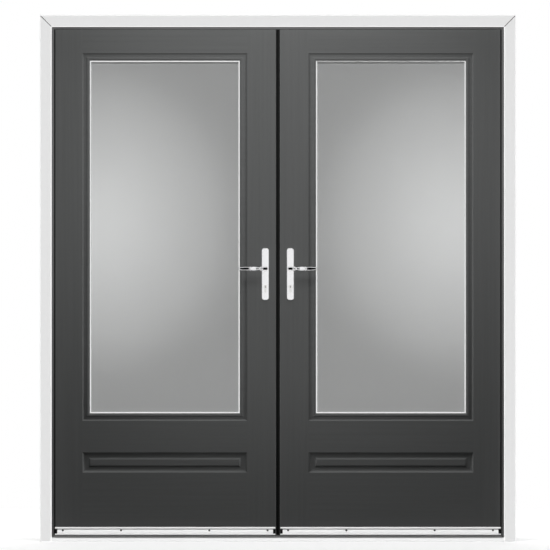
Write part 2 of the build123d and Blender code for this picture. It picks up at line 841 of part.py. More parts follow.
# Key cylinder with a gap for the cam at its middle, and the plug that carries the cam
cylinder_front = leaf_front - plate_thickness - cylinder_proud
cylinder_back = leaf_back + plate_thickness + cylinder_proud
cam_sweep = cam_radius + cam_gap
cam_half = cam_thickness / 2
cam_room = (leaf_middle - cam_half - cam_gap, leaf_middle + cam_half + cam_gap)
with BuildPart() as cylinder:
    cylinder_face = cylinder_outline(facing(cylinder_front, spindle_x, cylinder_z), 0)
    extrude(cylinder_face, amount=cylinder_front - cylinder_back)
    bore = (cylinder_front - overrun, cylinder_back + overrun)
    add(rod(plug_radius + plug_gap, bore, spindle_x, cylinder_z), mode=Mode.SUBTRACT)
    add(rod(cam_sweep, cam_room, spindle_x, cylinder_z), mode=Mode.SUBTRACT)
with BuildPart() as cylinder_plug:
    add(rod(plug_radius, (cylinder_front + plug_end, cylinder_back - plug_end), spindle_x, cylinder_z))
    with BuildSketch(facing(leaf_middle + cam_half, spindle_x, cylinder_z)):
        Circle(cam_hub_radius)
        with Locations((0, -cam_radius / 2)):
            Rectangle(cam_width, cam_radius)
        Circle(cam_radius, mode=Mode.INTERSECT)
    extrude(amount=cam_thickness)
    keyway_x = (spindle_x - keyway_width / 2, spindle_x + keyway_width / 2)
    keyway_z = (cylinder_z - keyway_height / 2, cylinder_z + keyway_height / 2)
    add(block(keyway_x, (cylinder_front, cylinder_front + keyway_depth), keyway_z), mode=Mode.SUBTRACT)
    add(block(keyway_x, (cylinder_back - keyway_depth, cylinder_back), keyway_z), mode=Mode.SUBTRACT)


# Lock case: a closed box with the follower's hole, the cylinder's hole and room for the cam to turn
case_y = (leaf_middle - case_thickness / 2, leaf_middle + case_thickness / 2)
case_x = (spindle_x + handle_backset - case_set_back - case_depth, meeting_edge - faceplate_thickness)


def lock_case(x):
    with BuildPart() as case:
        with BuildSketch(facing(case_y[0])):
            with Locations(((x[0] + x[1]) / 2, (case_bottom + case_top) / 2)):
                RectangleRounded(abs(x[1] - x[0]), case_top - case_bottom, case_corner)
        extrude(amount=-case_thickness)
        add(handle_holes((case_y[0] - overrun, case_y[1] + overrun), follower_radius), mode=Mode.SUBTRACT)
        add(rod(cam_sweep, cam_room, spindle_x, cylinder_z), mode=Mode.SUBTRACT)
    return case.part


# Hook case: open towards the meeting edge, with the pin that the hook turns on
hook_half = hook_thickness / 2
hook_case_x = (meeting_edge - faceplate_thickness - hook_case_depth, meeting_edge - faceplate_thickness)
hook_case_z = (hook_z - hook_case_below, hook_z + hook_case_above)
with BuildPart() as hook_case:
    add(block(hook_case_x, case_y, hook_case_z))
    room_x = (hook_case_x[0] + hook_case_wall, hook_case_x[1] + overrun)
    room_y = (leaf_middle - hook_half - lock_gap, leaf_middle + hook_half + lock_gap)
    room_z = (hook_case_z[0] + hook_case_wall, hook_case_z[1] - hook_case_wall)
    add(block(room_x, room_y, room_z), mode=Mode.SUBTRACT)
    add(rod(hook_pin_radius, case_y, hook_x, hook_z))
bolt_room_half = bolt_height / 2 + lock_gap
bolt_room_y = (leaf_middle - bolt_thickness / 2 - lock_gap, leaf_middle + bolt_thickness / 2 + lock_gap)
bolt_room_z = (bolt_z - bolt_room_half, bolt_z + bolt_room_half)
bolt_x = (meeting_edge - bolt_rest - bolt_length, meeting_edge - bolt_rest)
with BuildPart() as active_lock_case:
    add(lock_case(case_x))
    add(block((bolt_x[0] - lock_gap, meeting_edge), bolt_room_y, bolt_room_z), mode=Mode.SUBTRACT)
    add(hook_case.part)
    add(mirror(hook_case.part, about=hook_plane, mode=Mode.PRIVATE))

# Deadbolt, withdrawn
with BuildPart() as active_deadbolt:
    bolt_y = (leaf_middle - bolt_thickness / 2, leaf_middle + bolt_thickness / 2)
    add(block(bolt_x, bolt_y, (bolt_z - bolt_height / 2, bolt_z + bolt_height / 2)))
    chamfer(active_deadbolt.faces().sort_by(Axis.X)[-1].edges(), length=hook_round)

# Hook, folded up inside its case: hub on the pin, arm, and a beak at the end of the arm
with BuildPart() as active_hook_upper:
    with BuildSketch(facing(leaf_middle + hook_half, hook_x, hook_z)):
        Circle(hook_hub_radius)
        with Locations(((hook_arm_front - hook_arm_back) / 2, hook_reach / 2)):
            Rectangle(hook_arm_front + hook_arm_back, hook_reach)
        with Locations(((hook_beak_front - hook_arm_back) / 2, hook_reach - hook_beak_width / 2)):
            Rectangle(hook_beak_front + hook_arm_back, hook_beak_width)
        Circle(hook_pin_radius + hook_pin_gap, mode=Mode.SUBTRACT)
    extrude(amount=hook_thickness)
    fillet(active_hook_upper.edges().filter_by(Axis.Y).group_by(Axis.Z)[-1], radius=hook_round)
active_hook_lower = mirror(active_hook_upper.part, about=hook_plane)

# Faceplate along the active leaf's edge, slotted for the deadbolt and the hooks
faceplate_z = (leaf_bottom + faceplate_end, leaf_top - faceplate_end)
faceplate_y = (leaf_middle - faceplate_width / 2, leaf_middle + faceplate_width / 2)
hook_slot_y = (leaf_middle - hook_slot_width / 2, leaf_middle + hook_slot_width / 2)
with BuildPart() as hook_slot:
    slot_x = (faceplate_back - overrun, meeting_edge + overrun)
    add(block(slot_x, hook_slot_y, (hook_z - hook_slot_below, hook_z + hook_slot_above)))
with BuildPart() as active_lock_faceplate:
    add(block((faceplate_back, meeting_edge), faceplate_y, faceplate_z))
    add(hook_slot.part, mode=Mode.SUBTRACT)
    add(mirror(hook_slot.part, about=hook_plane, mode=Mode.PRIVATE), mode=Mode.SUBTRACT)
    add(block(slot_x, bolt_room_y, bolt_room_z), mode=Mode.SUBTRACT)
    with BuildSketch(Plane.YZ.offset(meeting_edge)):
        with Locations((leaf_middle, (faceplate_z[0] + faceplate_z[1]) / 2)):
            with GridLocations(0, faceplate_z[1] - faceplate_z[0] - 2 * faceplate_width, 1, 2):
                Circle(faceplate_screw_radius)
    extrude(amount=-faceplate_thickness, mode=Mode.SUBTRACT)

# The active leaf's edge frame, mortised for the faceplate and the cases
mortise_y = (case_y[0] - lock_gap, case_y[1] + lock_gap)
mortise_z = (case_bottom - lock_gap, case_top + lock_gap)
with BuildPart() as hook_mortise:
    hook_mortise_z = (hook_case_z[0] - lock_gap, hook_case_z[1] + lock_gap)
    add(block((hook_case_x[0] - lock_gap, meeting_edge + overrun), mortise_y, hook_mortise_z))
with BuildPart() as active_edge_frame:
    add(plain_edge_frame.part)
    add(block((faceplate_back, meeting_edge + overrun), faceplate_y, faceplate_z), mode=Mode.SUBTRACT)
    add(block((case_x[0] - lock_gap, meeting_edge), mortise_y, mortise_z), mode=Mode.SUBTRACT)
    add(hook_mortise.part, mode=Mode.SUBTRACT)
    add(mirror(hook_mortise.part, about=hook_plane, mode=Mode.PRIVATE), mode=Mode.SUBTRACT)

# Two seal strips along the active leaf's meeting edge
with BuildPart() as active_meeting_seals:
    with BuildSketch(Plane.XY.offset(leaf_bottom)):
        for seal_y in (
            leaf_front + skin + meeting_seal_base / 2,
            leaf_back - meeting_seal_inset - meeting_seal_base / 2,
        ):
            with BuildLine():
                Polyline(
                    (meeting_edge, seal_y - meeting_seal_base / 2),
                    (meeting_edge + meeting_seal_reach, seal_y - meeting_seal_tip / 2),
                    (meeting_edge + meeting_seal_reach, seal_y + meeting_seal_tip / 2),
                    (meeting_edge, seal_y + meeting_seal_base / 2),
                    close=True,
                )
            make_face()
    extrude(amount=leaf_height)

# Passive leaf: pockets behind the keeps, one for each hook and one for the deadbolt
pocket_x = (astragal_x - overrun, meeting_edge - bolt_rest + bolt_throw + pocket_spare)
pocket_y = (leaf_middle - pocket_width / 2, leaf_middle + pocket_width / 2)
bolt_pocket_z = (bolt_z - bolt_pocket_half, bolt_z + bolt_pocket_half)
with BuildPart() as keep_pockets:
    hook_pocket = block(pocket_x, pocket_y, (hook_z - pocket_below, hook_z + keep_slot_above))
    add(hook_pocket)
    add(mirror(hook_pocket, about=hook_plane, mode=Mode.PRIVATE))
    add(block(pocket_x, pocket_y, bolt_pocket_z))

# Keeps, let into the astragal
keep_plate_x = (astragal_x, astragal_x + keep_thickness)
keep_slot_x = (astragal_x - overrun, astragal_x + keep_thickness + overrun)
keep_slot_y = (leaf_middle - keep_slot_width / 2, leaf_middle + keep_slot_width / 2)
with BuildPart() as hook_keep:
    add(block(keep_plate_x, faceplate_y, (hook_z - keep_below, hook_z + keep_above)))
    hook_keep_slot = (hook_z - keep_slot_below, hook_z + keep_slot_above)
    add(block(keep_slot_x, keep_slot_y, hook_keep_slot), mode=Mode.SUBTRACT)
with BuildPart() as passive_keeps:
    add(hook_keep.part)
    add(mirror(hook_keep.part, about=hook_plane, mode=Mode.PRIVATE))
    add(block(keep_plate_x, faceplate_y, (bolt_z - bolt_keep_half, bolt_z + bolt_keep_half)))
    add(block(keep_slot_x, keep_slot_y, bolt_pocket_z), mode=Mode.SUBTRACT)

# Astragal: the bar on the passive leaf's edge that closes the gap between the leaves
astragal_y = (leaf_front + astragal_set_back, leaf_back)
with BuildPart() as passive_astragal:
    add(block((astragal_x, -meeting_edge), astragal_y, (leaf_bottom, leaf_top)))
    add(keep_pockets.part, mode=Mode.SUBTRACT)
    hook_keep_seat = block(keep_plate_x, faceplate_y, (hook_z - keep_below, hook_z + keep_above))
    add(hook_keep_seat, mode=Mode.SUBTRACT)
    add(mirror(hook_keep_seat, about=hook_plane, mode=Mode.PRIVATE), mode=Mode.SUBTRACT)
    bolt_keep_seat = block(keep_plate_x, faceplate_y, (bolt_z - bolt_keep_half, bolt_z + bolt_keep_half))
    add(bolt_keep_seat, mode=Mode.SUBTRACT)


# Shootbolts stand in bores in the passive leaf's lock stile
def upright(radius, bottom, top):
    with BuildPart() as solid:
        with BuildSketch(Plane.XY.offset(bottom)):
            with Locations((shootbolt_x, leaf_middle)):
                Circle(radius)
        extrude(amount=top - bottom)
    return solid.part


upper_foot = case_top - shootbolt_socket
lower_head = case_bottom + shootbolt_socket
passive_shootbolt_upper = upright(shootbolt_radius, upper_foot, leaf_top - shootbolt_rest)
passive_shootbolt_lower = upright(shootbolt_radius, leaf_bottom + shootbolt_rest, lower_head)
passive_case_x = (case_x[0], meeting_edge - case_set_back)
bore_radius = shootbolt_radius + shootbolt_gap
with BuildPart() as passive_lock_case:
    add(mirror(lock_case(passive_case_x), about=Plane.YZ, mode=Mode.PRIVATE))
    upper_socket = upright(bore_radius, upper_foot - shootbolt_gap, case_top + overrun)
    add(upper_socket, mode=Mode.SUBTRACT)
    lower_socket = upright(bore_radius, case_bottom - overrun, lower_head + shootbolt_gap)
    add(lower_socket, mode=Mode.SUBTRACT)
with BuildPart() as passive_edge_frame:
    add(mirror(plain_edge_frame.part, about=Plane.YZ, mode=Mode.PRIVATE))
    mortise_x = (-passive_case_x[1] - lock_gap, -passive_case_x[0] + lock_gap)
    add(block(mortise_x, mortise_y, mortise_z), mode=Mode.SUBTRACT)
    add(keep_pockets.part, mode=Mode.SUBTRACT)
    add(upright(bore_radius, leaf_bottom - overrun, leaf_top + overrun), mode=Mode.SUBTRACT)


# Hinge flag: a screwed plate, a web and a knuckle over half the hinge's height
def hinge_flag(side, plate_y, plate_width_here, bottom, knuckle_bottom):
    near = pivot_x + side * hinge_plate_gap
    far = near + side * plate_width_here
    plate_front = plate_y + hinge_plate_thickness
    with BuildPart() as flag:
        with BuildSketch(facing(plate_y)):
            with Locations(((near + far) / 2, bottom + hinge_height / 2)):
                Rectangle(plate_width_here, hinge_height)
        extrude(amount=-hinge_plate_thickness)
        with BuildSketch(Plane.XY.offset(knuckle_bottom)):
            with BuildLine():
                Polyline(
                    (near, plate_front),
                    (near + side * hinge_web, plate_front),
                    (pivot_x + side * hinge_knuckle_radius, pivot_y),
                    (pivot_x, pivot_y),
                    close=True,
                )
            make_face()
            with Locations((pivot_x, pivot_y)):
                Circle(hinge_knuckle_radius)
                Circle(hinge_pin_radius + hinge_pin_gap, mode=Mode.SUBTRACT)
        extrude(amount=(hinge_height - hinge_split) / 2)
    return flag.part


with BuildPart() as frame_flags:
    for place in hinge_places:
        low = place - hinge_height / 2
        add(hinge_flag(-1, inside_y, hinge_frame_plate, low, low))
with BuildPart() as hinge_frame_plates:
    add(frame_flags.part)
    add(mirror(frame_flags.part, about=Plane.YZ, mode=Mode.PRIVATE))
with BuildPart() as hinge_leaf_plates:
    for place in hinge_places:
        low = place - hinge_height / 2
        add(hinge_flag(1, leaf_back, hinge_leaf_plate, low, place + hinge_split / 2))
with BuildPart() as left_pins:
    for place in hinge_places:
        with BuildSketch(Plane.XY.offset(place - hinge_height / 2 + hinge_pin_end)):
            with Locations((pivot_x, pivot_y)):
                Circle(hinge_pin_radius)
        extrude(amount=hinge_height - 2 * hinge_pin_end)
with BuildPart() as hinge_pins:
    add(left_pins.part)
    add(mirror(left_pins.part, about=Plane.YZ, mode=Mode.PRIVATE))

# Pieces that both leaves have, made for the active leaf and mirrored for the passive one
leaf_pieces = {
    "outer_skin": outer_skin.part,
    "inner_skin": inner_skin,
    "core": core.part,
    "glazing_frame_outer": glazing_frame_outer,
    "glazing_frame_inner": glazing_frame_inner,
    "outer_pane": outer_pane,
    "inner_pane": inner_pane,
    "spacer_bar": spacer_bar,
    "weather_bar": weather_bar.part,
    "weather_bar_plugs": weather_bar_plugs.part,
    "screws": screws.part,
    "cylinder": cylinder.part,
    "cylinder_plug": cylinder_plug.part,
    "handle_plate_outer": handle_plate_outer.part,
    "handle_plate_inner": handle_plate_inner.part,
    "lever_outer": lever_outer.part,
    "lever_inner": lever_inner.part,
    "hinge_leaf_plates": hinge_leaf_plates.part,
}
single_pieces = {
    "frame_head": frame_head.part,
    "frame_jamb_left": frame_jamb.part,
    "frame_jamb_right": mirror(frame_jamb.part, about=Plane.YZ),
    "frame_weatherseal": frame_weatherseal.part,
    "threshold": threshold.part,
    "threshold_seal": threshold_seal.part,
    "head_bolt_keep": head_bolt_keep,
    "threshold_bolt_keep": threshold_bolt_keep,
    "hinge_frame_plates": hinge_frame_plates.part,
    "hinge_pins": hinge_pins.part,
    "active_edge_frame": active_edge_frame.part,
    "active_lock_case": active_lock_case.part,
    "active_lock_faceplate": active_lock_faceplate.part,
    "active_deadbolt": active_deadbolt.part,
    "active_hook_upper": active_hook_upper.part,
    "active_hook_lower": active_hook_lower,
    "active_meeting_seals": active_meeting_seals.part,
    "passive_edge_frame": passive_edge_frame.part,
    "passive_lock_case": passive_lock_case.part,
    "passive_keeps": passive_keeps.part,
    "passive_astragal": passive_astragal.part,
    "passive_shootbolt_upper": passive_shootbolt_upper,
    "passive_shootbolt_lower": passive_shootbolt_lower,
}

os.makedirs("parts", exist_ok=True)
for name, piece in leaf_pieces.items():
    save(piece, "active_" + name)
    save(mirror(piece, about=Plane.YZ), "passive_" + name)
for name, piece in single_pieces.items():
    save(piece, name)
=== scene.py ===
import json
import math

import bmesh
import bpy
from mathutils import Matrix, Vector


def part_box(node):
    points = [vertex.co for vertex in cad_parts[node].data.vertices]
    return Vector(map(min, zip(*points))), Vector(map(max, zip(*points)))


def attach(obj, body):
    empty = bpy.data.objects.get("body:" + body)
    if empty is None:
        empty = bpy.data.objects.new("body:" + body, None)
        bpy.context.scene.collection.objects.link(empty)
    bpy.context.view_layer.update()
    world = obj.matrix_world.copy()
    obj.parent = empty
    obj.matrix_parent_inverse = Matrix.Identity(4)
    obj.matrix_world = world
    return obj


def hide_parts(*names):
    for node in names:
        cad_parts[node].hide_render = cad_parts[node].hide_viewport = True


# Looks of the composite double door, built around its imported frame. All lengths are metres.
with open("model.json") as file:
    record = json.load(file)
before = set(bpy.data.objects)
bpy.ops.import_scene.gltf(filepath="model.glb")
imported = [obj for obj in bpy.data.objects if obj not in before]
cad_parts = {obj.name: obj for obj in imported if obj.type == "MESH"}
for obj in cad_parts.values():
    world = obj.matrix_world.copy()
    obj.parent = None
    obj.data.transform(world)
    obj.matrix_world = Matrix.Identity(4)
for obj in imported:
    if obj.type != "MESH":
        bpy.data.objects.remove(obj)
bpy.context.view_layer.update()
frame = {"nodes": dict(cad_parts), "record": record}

SIDES = ("active", "passive")

# Camera, straight in front of the door
CAMERA_DISTANCE = 40.0
CAMERA_FAR = 100.0
CAMERA_X = -0.0114
CAMERA_Z = 1.0627
PICTURE_WIDTH = 2.193
SENSOR = 36.0
FRONT_FACE_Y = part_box("frame_head")[0].y

# Places of the active leaf, read from its solids. A rectangle is its left, right, bottom and top
skin_low, skin_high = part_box("active_outer_skin")
pane_low, pane_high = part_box("active_outer_pane")
LEAF = (skin_low.x, skin_high.x, skin_low.z, skin_high.z)
LEAF_FRONT = skin_low.y
LEAF_MIDDLE = (skin_low.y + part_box("active_inner_skin")[1].y) / 2
GLASS_EDGE_COVER = 0.006
SIGHT = (
    pane_low.x + GLASS_EDGE_COVER,
    pane_high.x - GLASS_EDGE_COVER,
    pane_low.z + GLASS_EDGE_COVER,
    pane_high.z - GLASS_EDGE_COVER,
)

# Moulding of the skins
SKIN = 0.003
SKIN_EDGE_ROUND = 0.002
SURROUND = 0.030
SUNK = 0.007
STEEP_SHARE = 0.5
STEEP_DEPTH = 0.0055
GLAZING_WALL_RUN = 0.012
APERTURE_EDGE = 0.010
PANEL_BOTTOM = 0.2745
PANEL_HEIGHT = 0.0805
PANEL_WALL_RUN = 0.013
FIELD_END_MARGIN = 0.026
FIELD_SIDE_MARGIN = 0.02125
FIELD_RISE = 0.005
FIELD_RUN = 0.007
MOULD_ROUND = 0.0028

# Glazing frame: distances out from the sight line and in from the leaf's face
BEAD_FACE = 0.014
BEAD_FRONT = 0.001
BEAD_OUTER_BEVEL = 0.003
BEAD_INNER_RUN = 0.005
BEAD_INNER_BEVEL = 0.0035
GLASS_DEPTH = 0.008
BEAD_ROUND = 0.0009

# Lever, turned about an arm that stands off the leaf
SPINDLE_X = -0.050
SPINDLE_Z = 1.088
SPINDLE_HALF = 0.004
SPINDLE_SOCKET = 0.016
NECK_RADIUS = 0.010
NECK_START = 0.001
NECK_ROUND = 0.002
HUB_FRONT = 0.008
GRIP_STAND_OFF = 0.046
LEVER_REACH = 0.108
WAIST_RADIUS = 0.0065
COLLAR = (0.014, 0.0225, 0.0095)
BULGE = (0.031, 0.056, 0.010)
RING = (0.057, 0.063, 0.011)
RING_ROOT = 0.008
GRIP_RADIUS = 0.0085
TIP_RADIUS = 0.006
LEVER_SHARP = 40.0

# Black strip on the leaf just inside the seal's grey body: painted shade of the shadow line beside
# the weatherseal, wide along the jambs and thin at the head
FRAME_SIGHT = 0.048
SEAL_REACH = 0.009
SEAL_SHADOW_AT_JAMBS = 0.0055
SEAL_SHADOW_AT_HEAD = 0.0012
SEAL_SHADOW_THICKNESS = 0.0008
SEAL_SHADOW_GAP = 0.0003

# Seams of the frame's mitres
SEAM_START = 0.004
SEAM_WIDTH = 0.0018
SEAM_DEPTH = 0.001
SEAM_PROUD = 0.0002

# Flange of each glazing frame, from its side down to the steep part of the skin's wall
FLANGE_TOP = 0.0032
FLANGE_EDGE = (0.0237, 0.0054)
FLANGE_OVERLAP = 0.0005

# Fins at the meeting edges, one on each leaf, which overlap and close the gap
FIN_Y = {"active": (0.0265, 0.0295), "passive": (0.0205, 0.0225)}
FIN_ROOT = 0.0006
FIN_GAP = 0.0003
FIN_REACH = 0.002

# Screws: radius and length of heads and shafts. The recess and dome are shares of the head's size
BAR_SCREW_END = 0.031
BAR_SCREW_INNER = 0.176
BAR_SCREW_HEIGHT = 0.019
BAR_SCREW_SEAT = 0.004
BAR_SCREW_HEAD = (0.004, 0.0025)
BAR_SCREW_SHAFT = (0.0022, 0.018)
PLATE_SCREW_INSET = 0.0085
PLATE_SCREW_SUNK = 0.00125
PLATE_SCREW_HEAD = (0.0045, 0.003)
PLATE_SCREW_SHAFT_RADIUS = 0.0025
PLATE_FACE = 0.0025
RECESS_LENGTH = 0.56
RECESS_WIDTH = 0.17
RECESS_DEPTH = 0.5
RECESS_TAPER = 0.85
DOME = ((0.5, 1.0), (0.8, 0.93), (0.95, 0.8))

# Dust shutter inside each keyway, black so that it also stands in as painted shade deep in the keyway
CYLINDER_Z = 1.016
KEYWAY = (0.0022, 0.0084)
SHUTTER_SUNK = 0.0008
SHUTTER_DEPTH = 0.002

# Holes behind the handle plate for the spindle and the key cylinder
HOLE_HALF = 0.009
CYLINDER_HOLE = (0.991, 1.025)
SPINDLE_HOLE = (SPINDLE_Z - HOLE_HALF, SPINDLE_Z + HOLE_HALF)


class Value:
    """One output of a shader node. Sums written on values add Math nodes."""

    def __init__(self, tree, socket):
        self.tree = tree
        self.socket = socket

    def math(self, operation, left, right=None):
        node = self.tree.nodes.new("ShaderNodeMath")
        node.operation = operation
        for place, term in enumerate((left, right)):
            if isinstance(term, Value):
                self.tree.links.new(term.socket, node.inputs[place])
            elif term is not None:
                node.inputs[place].default_value = term
        return Value(self.tree, node.outputs[0])

    def __add__(self, other):
        return self.math("ADD", self, other)

    def __radd__(self, other):
        return self.math("ADD", other, self)

    def __sub__(self, other):
        return self.math("SUBTRACT", self, other)

    def __rsub__(self, other):
        return self.math("SUBTRACT", other, self)

    def __mul__(self, other):
        return self.math("MULTIPLY", self, other)

    def __rmul__(self, other):
        return self.math("MULTIPLY", other, self)

    def __gt__(self, other):
        return self.math("GREATER_THAN", self, other)

    def __lt__(self, other):
        return self.math("LESS_THAN", self, other)

    def size(self):
        return self.math("ABSOLUTE", self)


class Nodes:
    """A node tree in the making. add() makes any node and gives its outputs by name."""

    def __init__(self, tree):
        self.tree = tree
        tree.nodes.clear()

    def add(self, kind, settings=None, sockets=None):
        node = self.tree.nodes.new("ShaderNode" + kind)
        for name, setting in (settings or {}).items():
            if name == "stops":
                set_stops(node.color_ramp, setting)
            else:
                setattr(node, name, setting)
        for name, value in (sockets or {}).items():
            if isinstance(value, Value):
                self.tree.links.new(value.socket, node.inputs[name])
            else:
                node.inputs[name].default_value = value
        return {out.identifier: Value(self.tree, out) for out in node.outputs}

    def mix(self, share, first, second):
        """Colour between two colours."""
        sockets = {0: share, 6: first, 7: second}
        return self.add("Mix", {"data_type": "RGBA"}, sockets)["Result_Color"]


def set_stops(ramp, stops):
    """Places of a ramp and their grey levels."""
    while len(ramp.elements) < len(stops):
        ramp.elements.new(1.0)
    for element, (place, level) in zip(ramp.elements, stops):
        element.position = place
        element.color = (level, level, level, 1.0)


def grey(level):
    return (level, level, level, 1.0)


def colour(red, green, blue):
    return (red, green, blue, 1.0)


def new_finish(name):
    material = bpy.data.materials.new(name)
    material.use_nodes = True
    return material, Nodes(material.node_tree)


def close(nodes, shader):
    """Join the finished shader to the material's output."""
    nodes.add("OutputMaterial", sockets={"Surface": shader})


def place_of(nodes):
    return nodes.add("TexCoord")["Object"]


def streaks(nodes, place, stretch, detail=4.0):
    """Noise drawn out along one axis: stretch gives the marks per metre along x, y and z."""
    mapped = nodes.add("Mapping", sockets={"Vector": place, "Scale": stretch})["Vector"]
    return nodes.add("TexNoise", sockets={"Vector": mapped, "Scale": 1.0, "Detail": detail})["Fac"]


# Grain of the skins, as marks per metre along x, y and z, and the share of the fine grain in it
GRAIN_UPRIGHT = (700.0, 700.0, 22.0)
GRAIN_LEVEL = (22.0, 700.0, 700.0)
FIGURE_UPRIGHT = (90.0, 90.0, 1.6)
FIGURE_LEVEL = (1.6, 90.0, 90.0)
FIGURE_DETAIL = 2.0
FINE_IN_TONE = 0.45
FINE_IN_RELIEF = 0.7


def leaf_finish(name, dark, light, rough):
    """Moulded grey skin with an embossed grain: upright on the stiles and level on the rails."""
    material, nodes = new_finish(name)
    place = place_of(nodes)
    across = nodes.add("SeparateXYZ", sockets={"Vector": place})["X"].size()
    rail = (across > -SIGHT[1] - SURROUND) * (across < -SIGHT[0] + SURROUND)
    upright = streaks(nodes, place, GRAIN_UPRIGHT)
    level = streaks(nodes, place, GRAIN_LEVEL)
    upright_broad = streaks(nodes, place, FIGURE_UPRIGHT, FIGURE_DETAIL)
    level_broad = streaks(nodes, place, FIGURE_LEVEL, FIGURE_DETAIL)
    fine = rail * level + (1.0 - rail) * upright
    broad = rail * level_broad + (1.0 - rail) * upright_broad
    tone = nodes.mix(fine * FINE_IN_TONE + broad * (1.0 - FINE_IN_TONE), dark, light)
    relief = fine * FINE_IN_RELIEF + broad * (1.0 - FINE_IN_RELIEF)
    bump = nodes.add("Bump", sockets={"Height": relief, "Strength": 0.18, "Distance": 0.0005})
    shader = nodes.add(
        "BsdfPrincipled",
        sockets={
            "Base Color": tone,
            "Roughness": rough + broad * 0.12,
            "Specular IOR Level": 0.1,
            "Normal": bump["Normal"],
        },
    )
    close(nodes, shader["BSDF"])
    return material


def plastic_finish(name, tint, rough, peel, gloss=0.4):
    """Extruded or moulded plastic with a faint unevenness of its surface."""
    material, nodes = new_finish(name)
    place = place_of(nodes)
    wave = nodes.add("TexNoise", sockets={"Vector": place, "Scale": 60.0, "Detail": 3.0})["Fac"]
    grit = nodes.add("TexNoise", sockets={"Vector": place, "Scale": 1400.0, "Detail": 2.0})["Fac"]
    shade = tuple(0.96 * part for part in tint[:3]) + (1.0,)
    bump = nodes.add("Bump", sockets={"Height": grit, "Strength": peel, "Distance": 0.0001})
    shader = nodes.add(
        "BsdfPrincipled",
        sockets={
            "Base Color": nodes.mix(wave, shade, tint),
            "Roughness": rough + wave * 0.08,
            "Specular IOR Level": gloss,
            "Normal": bump["Normal"],
        },
    )
    close(nodes, shader["BSDF"])
    return material


def metal_finish(name, tint, rough, stretch, brush, metal=1.0):
    """Metal with fine brushing marks: stretch gives the marks per metre along x, y and z."""
    material, nodes = new_finish(name)
    place = place_of(nodes)
    lines = streaks(nodes, place, stretch)
    cloud = nodes.add("TexNoise", sockets={"Vector": place, "Scale": 35.0, "Detail": 3.0})["Fac"]
    shade = tuple(0.9 * part for part in tint[:3]) + (1.0,)
    bump = nodes.add("Bump", sockets={"Height": lines, "Strength": brush, "Distance": 0.00006})
    shader = nodes.add(
        "BsdfPrincipled",
        sockets={
            "Base Color": nodes.mix(lines, shade, tint),
            "Metallic": metal,
            "Roughness": rough + cloud * 0.06 + lines * 0.06,
            "Normal": bump["Normal"],
        },
    )
    close(nodes, shader["BSDF"])
    return material


def clear_glass_finish(name):
    """Thin clear pane: it lets light straight through and reflects by angle."""
    material, nodes = new_finish(name)
    place = place_of(nodes)
    ripple = nodes.add("TexNoise", sockets={"Vector": place, "Scale": 3.0, "Detail": 1.0})["Fac"]
    bump = nodes.add("Bump", sockets={"Height": ripple, "Strength": 0.05, "Distance": 0.0005})
    normal = bump["Normal"]
    share = nodes.add("Fresnel", sockets={"IOR": 1.45, "Normal": normal})["Fac"]
    through = nodes.add("BsdfTransparent", sockets={"Color": colour(0.975, 0.978, 0.977)})["BSDF"]
    polish = {"Color": grey(1.0), "Roughness": 0.03, "Normal": normal}
    sheen = nodes.add("BsdfGlossy", sockets=polish)["BSDF"]
    blend = nodes.add("MixShader", sockets={0: share, 1: through, 2: sheen})
    close(nodes, blend["Shader"])
    return material


def satin_glass_finish(name, tint):
    """Acid-etched pane that hides what is behind it."""
    material, nodes = new_finish(name)
    place = place_of(nodes)
    cloud = nodes.add("TexNoise", sockets={"Vector": place, "Scale": 2.2, "Detail": 2.0})["Fac"]
    etch = nodes.add("TexNoise", sockets={"Vector": place, "Scale": 2500.0, "Detail": 1.0})["Fac"]
    shade = tuple(0.97 * part for part in tint[:3]) + (1.0,)
    bump = nodes.add("Bump", sockets={"Height": etch, "Strength": 0.2, "Distance": 0.00005})
    shader = nodes.add(
        "BsdfPrincipled",
        sockets={
            "Base Color": nodes.mix(cloud, shade, tint),
            "Roughness": 0.5 + etch * 0.1,
            "Specular IOR Level": 0.2,
            "Normal": bump["Normal"],
        },
    )
    close(nodes, shader["BSDF"])
    return material


def rubber_finish(name, tint, rough, gloss):
    """Extruded seal with lines along its length and a dusty sheen."""
    material, nodes = new_finish(name)
    place = place_of(nodes)
    dust = nodes.add("TexNoise", sockets={"Vector": place, "Scale": 90.0, "Detail": 5.0})["Fac"]
    pale = tuple(part * 1.25 + 0.004 for part in tint[:3]) + (1.0,)
    bump = nodes.add("Bump", sockets={"Height": dust, "Strength": 0.2, "Distance": 0.0002})
    shader = nodes.add(
        "BsdfPrincipled",
        sockets={
            "Base Color": nodes.mix(dust, tint, pale),
            "Roughness": rough + dust * 0.1,
            "Specular IOR Level": gloss,
            "Normal": bump["Normal"],
        },
    )
    close(nodes, shader["BSDF"])
    return material


def foam_finish(name):
    """Rigid foam with open cells."""
    material, nodes = new_finish(name)
    place = place_of(nodes)
    cells = nodes.add("TexVoronoi", sockets={"Vector": place, "Scale": 600.0})["Distance"]
    bump = nodes.add("Bump", sockets={"Height": cells, "Strength": 0.6, "Distance": 0.0006})
    shader = nodes.add(
        "BsdfPrincipled",
        sockets={
            "Base Color": nodes.mix(cells, colour(0.62, 0.52, 0.34), colour(0.78, 0.7, 0.5)),
            "Roughness": 0.9,
            "Normal": bump["Normal"],
        },
    )
    close(nodes, shader["BSDF"])
    return material


